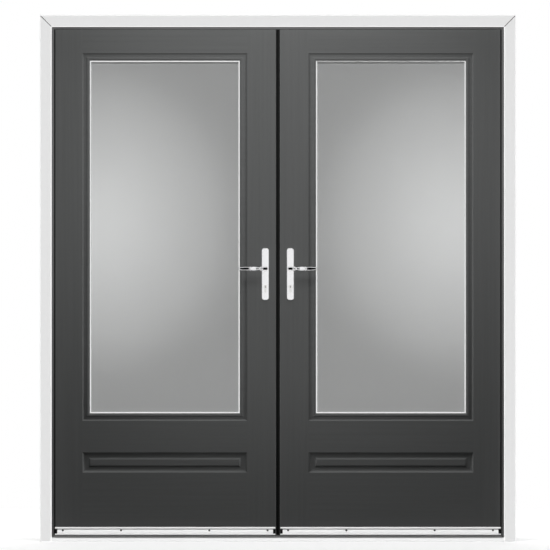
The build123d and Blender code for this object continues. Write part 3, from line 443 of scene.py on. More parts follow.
ALONG_X = (8.0, 1600.0, 1600.0)
ALONG_Z = (1600.0, 1600.0, 8.0)
POLISHED = (300.0, 300.0, 300.0)
SATIN = 0.3
ANODISED = grey(0.88)
CHROME = colour(0.9, 0.9, 0.91)
GREY_DARK = colour(0.0675, 0.069, 0.0688)
GREY_LIGHT = colour(0.0975, 0.0995, 0.099)
FINISHES = {
    "white_frame": plastic_finish("white_foil", grey(0.80), 0.32, 0.08),
    "leaf_skin": leaf_finish("grey_moulded_skin", GREY_DARK, GREY_LIGHT, 0.45),
    "foam_core": foam_finish("core_foam"),
    "leaf_edge": plastic_finish("grey_edge_band", colour(0.07, 0.076, 0.075), 0.5, 0.15, 0.2),
    "glazing_frame": leaf_finish("grey_glazing_bead", GREY_DARK, GREY_LIGHT, 0.45),
    "clear_glass": clear_glass_finish("clear_pane"),
    "satin_glass": satin_glass_finish("satin_pane", grey(0.6)),
    "spacer": metal_finish("spacer_aluminium", grey(0.95), 0.1, ALONG_X, 0.05),
    "weather_bar_aluminium": metal_finish("weather_bar_anodised", ANODISED, 0.3, ALONG_X, 0.2, SATIN),
    "threshold_aluminium": metal_finish("threshold_anodised", ANODISED, 0.36, ALONG_X, 0.2, SATIN),
    "black_plastic": plastic_finish("black_plastic", grey(0.01), 0.5, 0.2, 0.06),
    "screw_steel": metal_finish("screw_black_zinc", grey(0.1), 0.35, ALONG_X, 0.15),
    "handle_chrome": metal_finish("handle_chrome", CHROME, 0.08, POLISHED, 0.01),
    "cylinder_nickel": metal_finish("cylinder_nickel", colour(0.8, 0.8, 0.79), 0.25, ALONG_Z, 0.1),
    "hinge_white": plastic_finish("hinge_powder_coat", grey(0.80), 0.4, 0.3),
    "lock_steel": metal_finish("lock_zinc", colour(0.62, 0.63, 0.64), 0.34, ALONG_Z, 0.15),
    "seal_rubber": rubber_finish("grey_seal", grey(0.13), 0.55, 0.15),
    "black_rubber": rubber_finish("black_seal", grey(0.01), 0.55, 0.06),
}


# Points nearer than this are one point
MERGE = 0.000001
WELD = 0.00001


def paint(piece, finish):
    piece.data.materials.clear()
    piece.data.materials.append(finish)


def soften(piece, width, segments=2, angle=35.0):
    """Round the sharp edges of a solid by a small radius."""
    weld = piece.modifiers.new("weld", "WELD")
    weld.merge_threshold = WELD
    bevel = piece.modifiers.new("edges", "BEVEL")
    bevel.limit_method = "ANGLE"
    bevel.angle_limit = math.radians(angle)
    bevel.width = width
    bevel.segments = segments
    bevel.use_clamp_overlap = True
    bevel.miter_outer = "MITER_ARC"
    even_normals(piece)


def even_normals(piece):
    """Keep large flat faces flat beside small rounds."""
    normals = piece.modifiers.new("normals", "WEIGHTED_NORMAL")
    normals.weight = 80
    normals.keep_sharp = True


# Finish of each solid, and the radius of its edges
EDGE_RADII = {
    "white_frame": 0.0008,
    "weather_bar_aluminium": 0.0005,
    "threshold_aluminium": 0.0005,
    "handle_chrome": 0.0008,
    "lock_steel": 0.0003,
    "hinge_white": 0.0006,
    "black_plastic": 0.0004,
}
for row in frame["record"]["subparts"]:
    solid = frame["nodes"][row["node"]]
    paint(solid, FINISHES[row["material_slot"]])
    if row["material_slot"] in EDGE_RADII:
        soften(solid, EDGE_RADII[row["material_slot"]])


def rounded(points, reach, steps=4, closed=False):
    """Outline with rounded corners, each from reach before the corner to reach after it."""
    places = [Vector(point) for point in points]
    if closed:
        corners = list(zip([places[-1]] + places, places, places[1:] + [places[0]]))
        line = []
    else:
        corners = list(zip(places, places[1:], places[2:]))
        line = [places[0]]
    for before, corner, after in corners:
        start = corner + (before - corner).normalized() * reach
        end = corner + (after - corner).normalized() * reach
        for step in range(steps + 1):
            share = step / steps
            line.append(start.lerp(corner, share).lerp(corner.lerp(end, share), share))
    if not closed:
        line.append(places[-1])
    return line


def arc(start, middle, end, steps=12):
    """Points of the circle arc through three points."""
    (ax, ay), (bx, by), (cx, cy) = start, middle, end
    twice = 2 * (ax * (by - cy) + bx * (cy - ay) + cx * (ay - by))
    squares = (ax * ax + ay * ay, bx * bx + by * by, cx * cx + cy * cy)
    centre = Vector((
        (squares[0] * (by - cy) + squares[1] * (cy - ay) + squares[2] * (ay - by)) / twice,
        (squares[0] * (cx - bx) + squares[1] * (ax - cx) + squares[2] * (bx - ax)) / twice,
    ))
    radius = (Vector(start) - centre).length
    turns = [math.atan2(y - centre.y, x - centre.x) for x, y in (start, middle, end)]
    sweep = (turns[2] - turns[0]) % math.tau
    if (turns[1] - turns[0]) % math.tau > sweep:
        sweep -= math.tau
    angles = [turns[0] + sweep * step / steps for step in range(steps + 1)]
    return [centre + radius * Vector((math.cos(angle), math.sin(angle))) for angle in angles]


def grown(rect, by):
    """Rectangle larger by the same amount on every side."""
    left, right, bottom, top = rect
    return (left - by, right + by, bottom - by, top + by)


def loop_of(rect, y, x_cuts=(), z_cuts=()):
    """Points round a rectangle, with extra points where cuts cross its sides."""
    left, right, bottom, top = rect
    points = [(x, bottom) for x in (left, *x_cuts)]
    points += [(right, z) for z in (bottom, *z_cuts)]
    points += [(x, top) for x in (right, *reversed(x_cuts))]
    points += [(left, z) for z in (top, *reversed(z_cuts))]
    return [(x, y, z) for x, z in points]


def add_rings(form, loops, closed=False, round_trip=True):
    """Faces between loops that have equally many points. Gives the last loop.

    A closed form also joins its last loop to its first. Without a round trip, loops are open lines.
    """
    rows = [[form.verts.new(point) for point in loop] for loop in loops]
    pairs = list(zip(rows, rows[1:]))
    if closed:
        pairs.append((rows[-1], rows[0]))
    for outer, inner in pairs:
        for place in range(len(outer) if round_trip else len(outer) - 1):
            following = (place + 1) % len(outer)
            form.faces.new((outer[place], outer[following], inner[following], inner[place]))
    return rows[-1]


def to_leaf(form, side, inner):
    """Move a form drawn on the active leaf's outer face to the given leaf and face."""
    for vertex in form.verts:
        if side == "passive":
            vertex.co.x = -vertex.co.x
        if inner:
            vertex.co.y = 2 * LEAF_MIDDLE - vertex.co.y
    if (side == "passive") != inner:
        bmesh.ops.reverse_faces(form, faces=form.faces[:])


def as_piece(form, name, body, slot, nodes, sharp=35.0):
    """Turn a finished form into a piece that rides on a body and stands for solids."""
    bmesh.ops.remove_doubles(form, verts=form.verts[:], dist=MERGE)
    mesh = bpy.data.meshes.new(name)
    form.to_mesh(mesh)
    form.free()
    mesh.shade_smooth()
    mesh.set_sharp_from_angle(angle=math.radians(sharp))
    piece = bpy.data.objects.new(name, mesh)
    bpy.context.scene.collection.objects.link(piece)
    paint(piece, FINISHES[slot])
    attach(piece, body)
    if nodes:
        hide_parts(*nodes)
    return piece


# Skins
DISH = grown(SIGHT, SURROUND)
PANEL = (DISH[0], DISH[1], PANEL_BOTTOM, PANEL_BOTTOM + PANEL_HEIGHT)
FIELD = (
    PANEL[0] + FIELD_END_MARGIN,
    PANEL[1] - FIELD_END_MARGIN,
    PANEL[2] + FIELD_SIDE_MARGIN,
    PANEL[3] - FIELD_SIDE_MARGIN,
)
HOLE_X = (SPINDLE_X - HOLE_HALF, SPINDLE_X + HOLE_HALF)
HOLES = [(*HOLE_X, *CYLINDER_HOLE), (*HOLE_X, *SPINDLE_HOLE)]
FLAT = grown(LEAF, -2 * SKIN_EDGE_ROUND)
FLAT_X = sorted({x for rect in (FLAT, DISH, *HOLES) for x in rect[:2]})
FLAT_Z = sorted({z for rect in (FLAT, DISH, PANEL, *HOLES) for z in rect[2:]})


def covers(rect, x, z):
    return rect[0] < x < rect[1] and rect[2] < z < rect[3]


def add_flat(form):
    """Flat of the skin, left open at the sunk places and the holes."""
    for left, right in zip(FLAT_X, FLAT_X[1:]):
        for bottom, top in zip(FLAT_Z, FLAT_Z[1:]):
            middle = ((left + right) / 2, (bottom + top) / 2)
            if not any(covers(rect, *middle) for rect in (DISH, PANEL, *HOLES)):
                corners = loop_of((left, right, bottom, top), LEAF_FRONT)
                form.faces.new([form.verts.new(corner) for corner in corners])


def sunk_loops(rect, outline):
    """Loops that step inwards from a rectangle: each point of the outline is its inset and depth."""
    z_cuts = [z for z in FLAT_Z if rect[2] < z < rect[3]]
    return [
        loop_of(grown(rect, -inset), LEAF_FRONT + depth, (), z_cuts)
        for inset, depth in outline
    ]


def sunk_wall(run, floor):
    """Ogee from the leaf's face down to a sunk floor: steep first, then gentle."""
    steps = [(0, 0), (STEEP_SHARE * run, STEEP_DEPTH), (run, SUNK), (floor, SUNK)]
    return rounded(steps, MOULD_ROUND)


def make_skin(side, face):
    form = bmesh.new()
    add_flat(form)
    edge = rounded([(0, SKIN), (0, 0), (2 * SKIN_EDGE_ROUND, 0)], SKIN_EDGE_ROUND)
    cuts = (FLAT_X[1:-1], FLAT_Z[1:-1])
    edge_loops = [loop_of(grown(LEAF, -inset), LEAF_FRONT + depth, *cuts) for inset, depth in edge]
    add_rings(form, edge_loops)
    add_rings(form, sunk_loops(DISH, sunk_wall(GLAZING_WALL_RUN, SURROUND - APERTURE_EDGE)))
    wall = sunk_wall(PANEL_WALL_RUN, FIELD_SIDE_MARGIN - MOULD_ROUND)
    field_top = SUNK - FIELD_RISE
    field_flat = FIELD_RUN + MOULD_ROUND
    field_foot = [(-MOULD_ROUND, SUNK), (0, SUNK)]
    field_edge = [(FIELD_RUN, field_top), (field_flat, field_top)]
    field = rounded(field_foot + field_edge, MOULD_ROUND / 2)
    panel_loops = sunk_loops(PANEL, wall[:-1]) + sunk_loops(FIELD, field)
    form.faces.new(add_rings(form, panel_loops))
    to_leaf(form, side, face == "inner")
    nodes = [f"{side}_{face}_skin"]
    piece = as_piece(form, f"{side}_{face}_moulding", f"{side}_leaf", "leaf_skin", nodes)
    sheet = piece.modifiers.new("sheet", "SOLIDIFY")
    sheet.thickness = SKIN
    sheet.offset = -1.0
    even_normals(piece)
    return piece


# Glazing frames
BEAD = rounded(
    [
        (BEAD_FACE, SUNK),
        (BEAD_FACE, BEAD_FRONT + BEAD_OUTER_BEVEL),
        (BEAD_FACE - BEAD_OUTER_BEVEL, BEAD_FRONT),
        (BEAD_INNER_RUN, BEAD_FRONT),
        (0, BEAD_FRONT + BEAD_INNER_BEVEL),
        (0, GLASS_DEPTH),
        (GLASS_EDGE_COVER, GLASS_DEPTH),
        (GLASS_EDGE_COVER, SUNK),
    ],
    BEAD_ROUND / 2,
    3,
    closed=True,
)


def add_round_glass(form, outline):
    """Closed profile led round the glass: each point is its way out from the glass and its depth."""
    loops = [loop_of(grown(SIGHT, out), LEAF_FRONT + depth) for out, depth in outline]
    add_rings(form, loops, closed=True)


def make_bead(side, face):
    form = bmesh.new()
    add_round_glass(form, BEAD)
    to_leaf(form, side, face == "inner")
    bmesh.ops.recalc_face_normals(form, faces=form.faces[:])
    nodes = [f"{side}_glazing_frame_{face}"]
    piece = as_piece(form, f"{side}_{face}_glazing_bead", f"{side}_leaf", "glazing_frame", nodes)
    even_normals(piece)
    return piece


def make_flange(side, face):
    """Flange that laps over the sunk skin beside the glazing frame."""
    root = BEAD_FACE - FLANGE_OVERLAP
    edge_out, edge_depth = FLANGE_EDGE
    outline = [
        (root, SUNK),
        (root, FLANGE_TOP),
        (BEAD_FACE, FLANGE_TOP),
        (edge_out, edge_depth),
        (edge_out, edge_depth + FLANGE_OVERLAP),
        (SURROUND - GLAZING_WALL_RUN, SUNK),
    ]
    form = bmesh.new()
    add_round_glass(form, outline)
    to_leaf(form, side, face == "inner")
    bmesh.ops.recalc_face_normals(form, faces=form.faces[:])
    return as_piece(form, f"{side}_{face}_glazing_flange", f"{side}_leaf", "glazing_frame", [])


# Levers
TURN_STEPS = 48
ROUND_STEPS = 8


def add_turned(form, outline, centre, along, across):
    """Turned solid: each point of the outline is its place along the axis and its radius."""
    third = along.cross(across)
    turns = [math.tau * step / TURN_STEPS for step in range(TURN_STEPS)]
    loops = []
    for reach, radius in outline:
        spokes = [across * math.cos(turn) + third * math.sin(turn) for turn in turns]
        loops.append([centre + along * reach + spoke * radius for spoke in spokes])
    add_rings(form, loops)


def humped(part, foot, far_foot):
    """Arc of a turned form: its start, end and height."""
    start, end, height = part
    return arc((start, foot), ((start + end) / 2, height), (end, far_foot))


def make_lever(side, face):
    form = bmesh.new()
    out = Vector((0, -1, 0))
    foot = Vector((SPINDLE_X, LEAF_FRONT - NECK_START, SPINDLE_Z))
    neck_length = GRIP_STAND_OFF + HUB_FRONT - NECK_START
    neck_side = [(0, NECK_RADIUS), (neck_length, NECK_RADIUS), (neck_length, 0)]
    neck = [(0, 0), (0, NECK_RADIUS)] + rounded(neck_side, NECK_ROUND, ROUND_STEPS)
    add_turned(form, neck, foot, out, Vector((0, 0, 1)))
    arm = [(0, 0), (0, WAIST_RADIUS)]
    arm += humped(COLLAR, WAIST_RADIUS, WAIST_RADIUS)
    arm += humped(BULGE, WAIST_RADIUS, RING_ROOT)
    arm += humped(RING, RING_ROOT, RING_ROOT)
    tip_start = LEVER_REACH - TIP_RADIUS
    arm += humped((RING[1], tip_start, GRIP_RADIUS), RING_ROOT, TIP_RADIUS)
    for step in range(ROUND_STEPS + 1):
        turn = math.pi / 2 * step / ROUND_STEPS
        arm.append((tip_start + TIP_RADIUS * math.sin(turn), TIP_RADIUS * math.cos(turn)))
    axis_place = Vector((SPINDLE_X, LEAF_FRONT - GRIP_STAND_OFF, SPINDLE_Z))
    add_turned(form, arm, axis_place, Vector((-1, 0, 0)), Vector((0, 0, 1)))
    if face == "inner":
        add_spindle(form)
    to_leaf(form, side, face == "inner")
    bmesh.ops.remove_doubles(form, verts=form.verts[:], dist=MERGE)
    bmesh.ops.recalc_face_normals(form, faces=form.faces[:])
    name = f"{side}_{face}_lever_casting"
    nodes = [f"{side}_lever_{face}"]
    return as_piece(form, name, f"{side}_lever", "handle_chrome", nodes, LEVER_SHARP)


def add_spindle(form):
    """Square spindle of the inner lever, drawn from the outer face inwards."""
    rect = grown((SPINDLE_X, SPINDLE_X, SPINDLE_Z, SPINDLE_Z), SPINDLE_HALF)
    far = 2 * LEAF_MIDDLE - (LEAF_FRONT - NECK_START - SPINDLE_SOCKET)
    near = LEAF_FRONT - NECK_START
    ends = [loop_of(grown(rect, -SPINDLE_HALF), near), loop_of(rect, near)]
    ends += [loop_of(rect, far), loop_of(grown(rect, -SPINDLE_HALF), far)]
    add_rings(form, ends)


# Screws
ARM_TURN = math.atan2(RECESS_WIDTH, RECESS_LENGTH)
QUARTER = [0.0, ARM_TURN, (ARM_TURN + math.pi / 4) / 2, math.pi / 4]
QUARTER += [math.pi / 2 - turn for turn in (QUARTER[2], QUARTER[1])]
SCREW_TURNS = [quarter * math.pi / 2 + turn for quarter in range(4) for turn in QUARTER]


def cross_reach(turn):
    """Distance from the middle of a cross recess to its edge, as a share of the head's radius."""
    aside = turn % (math.pi / 2)
    aside = min(aside, math.pi / 2 - aside)
    if aside <= ARM_TURN:
        return RECESS_LENGTH / math.cos(aside)
    return RECESS_WIDTH / math.sin(aside)


def add_screw(form, seat, out, head, shaft):
    """Screw with a domed head and a cross recess. The underside of its head is at the seat."""
    radius, height = head
    shaft_radius, length = shaft
    level = Vector((1, 0, 0))
    upright = out.cross(level)
    rows = [(-length, 0.0), (-length, shaft_radius), (0.0, shaft_radius), (0.0, radius)]
    rows += [(up * height, share * radius) for up, share in DOME]
    loops = [[(reach, width) for turn in SCREW_TURNS] for reach, width in rows]
    floor_reach = height * RECESS_DEPTH
    for reach, share in ((height, 1.0), (floor_reach, RECESS_TAPER), (floor_reach, 0.0)):
        loops.append([(reach, radius * share * cross_reach(turn)) for turn in SCREW_TURNS])
    placed = []
    for loop in loops:
        spokes = zip(SCREW_TURNS, loop)
        placed.append([
            seat + out * reach + (level * math.cos(turn) + upright * math.sin(turn)) * width
            for turn, (reach, width) in spokes
        ])
    add_rings(form, placed)


def make_screws(side):
    form = bmesh.new()
    bar_low, bar_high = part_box("active_weather_bar")
    bar_middle = (bar_low.x + bar_high.x) / 2
    places = (
        bar_low.x + BAR_SCREW_END,
        bar_middle - BAR_SCREW_INNER,
        bar_middle + BAR_SCREW_INNER,
        bar_high.x - BAR_SCREW_END,
    )
    for place in places:
        seat = Vector((place, LEAF_FRONT - BAR_SCREW_SEAT, bar_low.z + BAR_SCREW_HEIGHT))
        add_screw(form, seat, Vector((0, -1, 0)), BAR_SCREW_HEAD, BAR_SCREW_SHAFT)
    plate_low, plate_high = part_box("active_handle_plate_inner")
    plate_seat = plate_high.y - PLATE_SCREW_SUNK - PLATE_SCREW_HEAD[1]
    far_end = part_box("active_handle_plate_outer")[0].y + PLATE_FACE
    shaft = (PLATE_SCREW_SHAFT_RADIUS, plate_seat - far_end)
    for height in (plate_low.z + PLATE_SCREW_INSET, plate_high.z - PLATE_SCREW_INSET):
        seat = Vector((SPINDLE_X, plate_seat, height))
        add_screw(form, seat, Vector((0, 1, 0)), PLATE_SCREW_HEAD, shaft)
    to_leaf(form, side, False)
    bmesh.ops.remove_doubles(form, verts=form.verts[:], dist=MERGE)
    bmesh.ops.recalc_face_normals(form, faces=form.faces[:])
    nodes = [f"{side}_screws"]
    return as_piece(form, f"{side}_cross_screws", f"{side}_leaf", "screw_steel", nodes)


def make_keyway_shutters_and_shade(side):
    """Black shutters just inside both ends of the keyway: dust shutters, and painted shade of the
    keyway's dark depth.
    """
    form = bmesh.new()
    low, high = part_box("active_cylinder_plug")
    half_width, half_height = KEYWAY[0] / 2, KEYWAY[1] / 2
    slot = (
        SPINDLE_X - half_width,
        SPINDLE_X + half_width,
        CYLINDER_Z - half_height,
        CYLINDER_Z + half_height,
    )
    crown = grown(slot, -half_width / 2)
    for face, inwards in ((low.y, 1), (high.y, -1)):
        front = face + inwards * SHUTTER_SUNK
        back = front + inwards * SHUTTER_DEPTH
        shoulder = front + inwards * SHUTTER_SUNK
        loops = [loop_of(slot, back), loop_of(slot, shoulder), loop_of(crown, front)]
        form.faces.new(add_rings(form, loops))
    bmesh.ops.holes_fill(form, edges=form.edges[:])
    to_leaf(form, side, False)
    bmesh.ops.recalc_face_normals(form, faces=form.faces[:])
    return as_piece(form, f"{side}_keyway_shutters", f"{side}_key_plug", "black_plastic", [])


# Rubber that bridges gaps, and a black strip of painted shade beside the weatherseal
def make_seal_shadow_strip():
    """Painted shade: black strip along both jambs and the head, where the shadow line beside the seal
    falls.
    """
    low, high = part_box("frame_head")
    seal_edge = FRAME_SIGHT + SEAL_REACH
    back = LEAF_FRONT - SEAL_SHADOW_GAP
    outline = [(0, back - SEAL_SHADOW_THICKNESS), (1, back - SEAL_SHADOW_THICKNESS / 2), (1, back), (0, back)]
    lines = []
    for share, y in outline:
        left = low.x + seal_edge + share * SEAL_SHADOW_AT_JAMBS
        right = high.x - seal_edge - share * SEAL_SHADOW_AT_JAMBS
        top = high.z - seal_edge - share * SEAL_SHADOW_AT_HEAD
        lines.append([(left, y, LEAF[2]), (left, y, top), (right, y, top), (right, y, LEAF[2])])
    form = bmesh.new()
    add_rings(form, lines, closed=True, round_trip=False)
    bmesh.ops.holes_fill(form, edges=form.edges[:])
    bmesh.ops.recalc_face_normals(form, faces=form.faces[:])
    return as_piece(form, "weatherseal_lip", "frame", "black_rubber", [])


def make_meeting_fin(side):
    """Fin from the active leaf's inner seal, or from the passive leaf's bar, into the gap."""
    bar_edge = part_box("passive_astragal")[0].x
    if side == "active":
        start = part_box("active_meeting_seals")[1].x - FIN_ROOT
        end = bar_edge - FIN_GAP
    else:
        start = bar_edge + FIN_ROOT
        end = bar_edge - FIN_REACH
    low, high = FIN_Y[side]
    middle = (low + high) / 2
    corners = [(start, low), (end, middle - FIN_ROOT), (end, middle + FIN_ROOT), (start, high)]
    outline = rounded(corners, FIN_ROOT / 2, 3, closed=True)
    form = bmesh.new()
    add_rings(form, [[(x, y, z) for x, y in outline] for z in LEAF[2:]])
    bmesh.ops.holes_fill(form, edges=form.edges[:])
    bmesh.ops.recalc_face_normals(form, faces=form.faces[:])
    return as_piece(form, f"{side}_meeting_fin", f"{side}_leaf", "black_rubber", [])


def make_mitre_seam(side):
    """Thin seam along a mitre of the frame, from its outer corner to its inner one."""
    low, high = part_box("frame_head")
    front = low.y - SEAM_PROUD
    half = SEAM_WIDTH / 2
    form = bmesh.new()
    crest = front - SEAM_PROUD / 2
    corners = ((-half, front), (0, crest), (half, front), (0, front + SEAM_DEPTH))
    loops = []
    for inset in (SEAM_START, FRAME_SIGHT - SEAM_WIDTH):
        x = low.x + inset
        z = high.z - inset
        loops.append([(x + aside, y, z + aside) for aside, y in corners])
    add_rings(form, loops)
    bmesh.ops.holes_fill(form, edges=form.edges[:])
    to_leaf(form, side, False)
    bmesh.ops.recalc_face_normals(form, faces=form.faces[:])
    return as_piece(form, f"{side}_side_mitre_seam", "frame", "black_rubber", [])


moulded = {}
levers = []
for leaf_side in SIDES:
    for leaf_face in ("outer", "inner"):
        moulded[leaf_side, leaf_face] = [
            make_skin(leaf_side, leaf_face),
            make_bead(leaf_side, leaf_face),
            make_flange(leaf_side, leaf_face),
        ]
        levers.append(make_lever(leaf_side, leaf_face))
    make_screws(leaf_side)
    # Dust shutters that also paint the shade deep in each keyway
    make_keyway_shutters_and_shade(leaf_side)
    make_mitre_seam(leaf_side)
    make_meeting_fin(leaf_side)
# Black strip of painted shade beside the weatherseal
make_seal_shadow_strip()

# Floor that fades into the pale background
FLOOR_RADIUS = 6.0
FLOOR_FADE_START = 2.2
FLOOR_FADE_END = 5.7
FLOOR_STEPS = 96


def floor_finish():
    material, nodes = new_finish("floor")
    place = place_of(nodes)
    far = nodes.add("VectorMath", {"operation": "LENGTH"}, {0: place})["Value"]
    stops = [(FLOOR_FADE_START / FLOOR_RADIUS, 0.0), (FLOOR_FADE_END / FLOOR_RADIUS, 1.0)]
    fade = nodes.add("ValToRGB", {"stops": stops}, {"Fac": far * (1.0 / FLOOR_RADIUS)})["Color"]
    pale = nodes.add("BsdfDiffuse", sockets={"Color": grey(0.9)})["BSDF"]
    clear = nodes.add("BsdfTransparent")["BSDF"]
    blend = nodes.add("MixShader", sockets={0: fade, 1: pale, 2: clear})
    close(nodes, blend["Shader"])
    return material


def make_floor():
    mesh = bpy.data.meshes.new("floor")
    form = bmesh.new()
    bmesh.ops.create_circle(form, cap_ends=True, radius=FLOOR_RADIUS, segments=FLOOR_STEPS)
    form.to_mesh(mesh)
    form.free()
    floor = bpy.data.objects.new("floor", mesh)
    bpy.context.scene.collection.objects.link(floor)
    floor.visible_diffuse = False
    paint(floor, floor_finish())
    return floor


# Black cards in front of the levers, seen only in their polish and from close by
CARD_GAP = 0.008
CARD_RANGE = 0.045
CARDS = ((-0.013, 0.020, 0.0052), (0.024, 0.031, 0.02), (0.064, 0.106, 0.025))


def card_finish():
    material, nodes = new_finish("black_card")
    near = nodes.add("LightPath")["Ray Length"] < CARD_RANGE
    clear = nodes.add("BsdfTransparent")["BSDF"]
    black = nodes.add("BsdfDiffuse", sockets={"Color": grey(0.01)})["BSDF"]
    blend = nodes.add("MixShader", sockets={0: near, 1: clear, 2: black})
    close(nodes, blend["Shader"])
    return material


def make_cards(side, face, finish):
    """One card for each (start, end, half height), measured along the arm from the spindle."""
    form = bmesh.new()
    y = LEAF_FRONT - GRIP_STAND_OFF - HUB_FRONT - CARD_GAP
    for start, end, half in CARDS:
        rect = (SPINDLE_X - end, SPINDLE_X - start, SPINDLE_Z - half, SPINDLE_Z + half)
        form.faces.new([form.verts.new(corner) for corner in loop_of(rect, y)])
    to_leaf(form, side, face == "inner")
    mesh = bpy.data.meshes.new("lever_cards")
    form.to_mesh(mesh)
    form.free()
    cards = bpy.data.objects.new(f"{side}_{face}_lever_cards", mesh)
    bpy.context.scene.collection.objects.link(cards)
    cards.visible_camera = False
    cards.visible_diffuse = False
    cards.visible_shadow = False
    cards.visible_transmission = False
    paint(cards, finish)


black_card = card_finish()
for leaf_side in SIDES:
    for leaf_face in ("outer", "inner"):
        make_cards(leaf_side, leaf_face, black_card)

# Background: white to the eye, to metal and to glass. Its soft light comes mostly from the sides
AMBIENT = 0.065
AMBIENT_FRONT = 0.2
AMBIENT_SIDES = 1.5


def make_world():
    world = bpy.data.worlds.new("studio")
    bpy.context.scene.world = world
    world.use_nodes = True
    nodes = Nodes(world.node_tree)
    path = nodes.add("LightPath")
    shown = (path["Is Camera Ray"] + path["Is Glossy Ray"] + path["Is Transmission Ray"]) > 0.5
    depth = nodes.add("SeparateXYZ", sockets={"Vector": nodes.add("TexCoord")["Generated"]})["Y"]
    soft = (AMBIENT_FRONT + (1.0 - depth * depth) * AMBIENT_SIDES) * AMBIENT
    strength = shown + (1.0 - shown) * soft
    sky = nodes.add("Background", sockets={"Color": grey(1.0), "Strength": strength})
    nodes.add("OutputWorld", sockets={"Surface": sky["Background"]})


def aim(light, direction):
    light.rotation_euler = Vector(direction).to_track_quat("-Z", "Y").to_euler()


def new_light(name, kind, power, receivers):
    """Lamp that is not seen in reflections. With receivers, it reaches only these pieces."""
    lamp = bpy.data.lights.new(name, kind)
    lamp.energy = power
    light = bpy.data.objects.new(name, lamp)
    light.visible_glossy = False
    bpy.context.scene.collection.objects.link(light)
    if receivers:
        light.light_linking.receiver_collection = group_of(name + "_receivers", receivers)
    return light


def group_of(name, pieces):
    group = bpy.data.collections.new(name)
    for piece in pieces:
        group.objects.link(piece)
    return group


def soft_light(name, place, target, size, power, receivers=()):
    """Area lamp at place, facing target. Its size is its width and height."""
    light = new_light(name, "AREA", power, receivers)
    light.data.shape = "RECTANGLE"
    light.data.size, light.data.size_y = size
    light.location = place
    aim(light, Vector(target) - Vector(place))


def side_light(name, origin, power, receivers=(), angle=8.0):
    """Even light that comes from one direction."""
    light = new_light(name, "SUN", power, receivers)
    light.data.angle = math.radians(angle)
    aim(light, -Vector(origin))
    return light


FLOOR_LIGHT = 2.9
FLOOR_LIGHT_ANGLE = 40.0
floor = make_floor()
make_world()
side_light("floor_light", (0.0, -0.3, 1.0), FLOOR_LIGHT, [floor], FLOOR_LIGHT_ANGLE)

# The frame is lit evenly from all four sides, so that its bevels shine
FRAME_NAMES = ("frame_head", "frame_jamb_left", "frame_jamb_right")
FRAME_NODES = [frame["nodes"][name] for name in FRAME_NAMES]
FRAME_LIGHT = 2.95
GRAZE = math.radians(76.0)
frame_group = group_of("frame_only", FRAME_NODES)
for name, x, z in (("left", -1, 0), ("right", 1, 0), ("above", 0, 1), ("below", 0, -1)):
    origin = (x * math.sin(GRAZE), -math.cos(GRAZE), z * math.sin(GRAZE))
    sun = side_light("frame_from_" + name, origin, FRAME_LIGHT, FRAME_NODES)
    sun.light_linking.blocker_collection = frame_group

# Everything else is lit from above the middle and from the front
TOP_PLACE = (0.0, -1.2, 2.4)
TOP_TARGET = (0.0, 0.0, 1.4)
TOP_SIZE = (1.0, 0.6)
TOP_POWER = 13.0
SPOT_PLACE = (0.0, -3.0, 2.0)
SPOT_DIRECTION = (0.0, 3.0, -0.5)
SPOT_CONE = 44.0
SPOT_BLEND = 0.5
SPOT_RADIUS = 0.3
SPOT_POWER = 154.0
PANES = [frame["nodes"][side + "_inner_pane"] for side in SIDES]
apart = set(FRAME_NODES + PANES + [floor])
others = [piece for piece in bpy.data.objects if piece.type == "MESH" and piece not in apart]
soft_light("top_softbox", TOP_PLACE, TOP_TARGET, TOP_SIZE, TOP_POWER, others)
spot = new_light("front_spot", "SPOT", SPOT_POWER, others)
spot.data.spot_size = math.radians(SPOT_CONE)
spot.data.spot_blend = SPOT_BLEND
spot.data.shadow_soft_size = SPOT_RADIUS
spot.location = SPOT_PLACE
aim(spot, SPOT_DIRECTION)
casters = [piece for piece in others if piece not in levers]
spot.light_linking.blocker_collection = group_of("front_casters", casters)

# A grazing light on each leaf, from above and from the meeting edge, brings out its mouldings,
# and a weaker one comes from the hinges
LEAF_LIGHTS = (("graze", (0.6, -0.13, 0.79), 5.0), ("fill", (-0.9, -0.1, 0.1), 0.8))
LEAF_LIGHT_ANGLE = 30.0
for side, inward in zip(SIDES, (1, -1)):
    pieces = moulded[side, "outer"]
    mouldings = group_of(side + "_mouldings", pieces)
    for kind, (x, y, z), power in LEAF_LIGHTS:
        sun = side_light(f"{kind}_on_{side}", (inward * x, y, z), power, pieces, LEAF_LIGHT_ANGLE)
        sun.light_linking.blocker_collection = mouldings

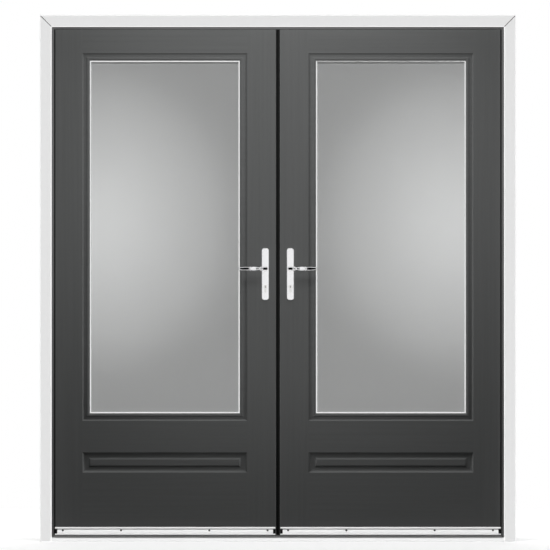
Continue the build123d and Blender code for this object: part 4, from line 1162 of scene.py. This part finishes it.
# Light on the aluminium at the foot
SILL_LIGHT = 3.2
BAR_LIGHT = 2.8
SILL_NODES = [frame["nodes"][name] for name in ("threshold", "threshold_seal")]
BAR_NODES = [frame["nodes"][side + "_weather_bar"] for side in SIDES]
side_light("sill_light", (0.0, -1.0, 0.05), SILL_LIGHT, SILL_NODES)
side_light("bar_light", (0.0, -0.55, 0.83), BAR_LIGHT, BAR_NODES)

# A glow on each satin pane, from its outer edge
GLOW_Z = 1.28
GLOW_STAND_OFF = 0.6
GLOW_SIZE = (0.2, 0.2)
GLOW_POWER = 2.3
PANE_FILL = 1.1
for pane, outward in zip(PANES, (-1, 1)):
    place = (outward * -SIGHT[0], -GLOW_STAND_OFF, GLOW_Z)
    target = (place[0], 0.0, GLOW_Z)
    soft_light("glow_on_" + pane.name, place, target, GLOW_SIZE, GLOW_POWER, [pane])
side_light("pane_fill", (0.0, -1.0, 0.3), PANE_FILL, PANES)

# The inner side
BACK_PLACE = (0.0, 5.0, 3.2)
BACK_TARGET = (0.0, 0.0, 1.0)
BACK_SIZE = (4.0, 2.5)
BACK_POWER = 215.0
soft_light("back_softbox", BACK_PLACE, BACK_TARGET, BACK_SIZE, BACK_POWER)

# Both ends, seen when the leaves stand open
END_REACH = 4.0
END_SIZE = (2.0, 2.0)
END_POWER = 60.0
PALE_SLOTS = ("weather_bar_aluminium", "threshold_aluminium")
pale = {FINISHES[slot] for slot in PALE_SLOTS}
ends = [piece for piece in others if piece.data.materials[0] not in pale] + PANES
for name, x in (("left", -1), ("right", 1)):
    place = (END_REACH * x, 2.0, 2.4)
    soft_light("end_softbox_" + name, place, (x, 0.5, 1.0), END_SIZE, END_POWER, ends)


def make_camera():
    lens = bpy.data.cameras.new("camera")
    lens.sensor_width = SENSOR
    lens.lens = SENSOR * (CAMERA_DISTANCE + FRONT_FACE_Y) / PICTURE_WIDTH
    lens.clip_end = CAMERA_FAR
    camera = bpy.data.objects.new("camera", lens)
    camera.location = (CAMERA_X, -CAMERA_DISTANCE, CAMERA_Z)
    camera.rotation_euler = (math.radians(90.0), 0.0, 0.0)
    bpy.context.scene.collection.objects.link(camera)
    bpy.context.scene.camera = camera


make_camera()
bpy.context.scene.view_settings.view_transform = "Standard"
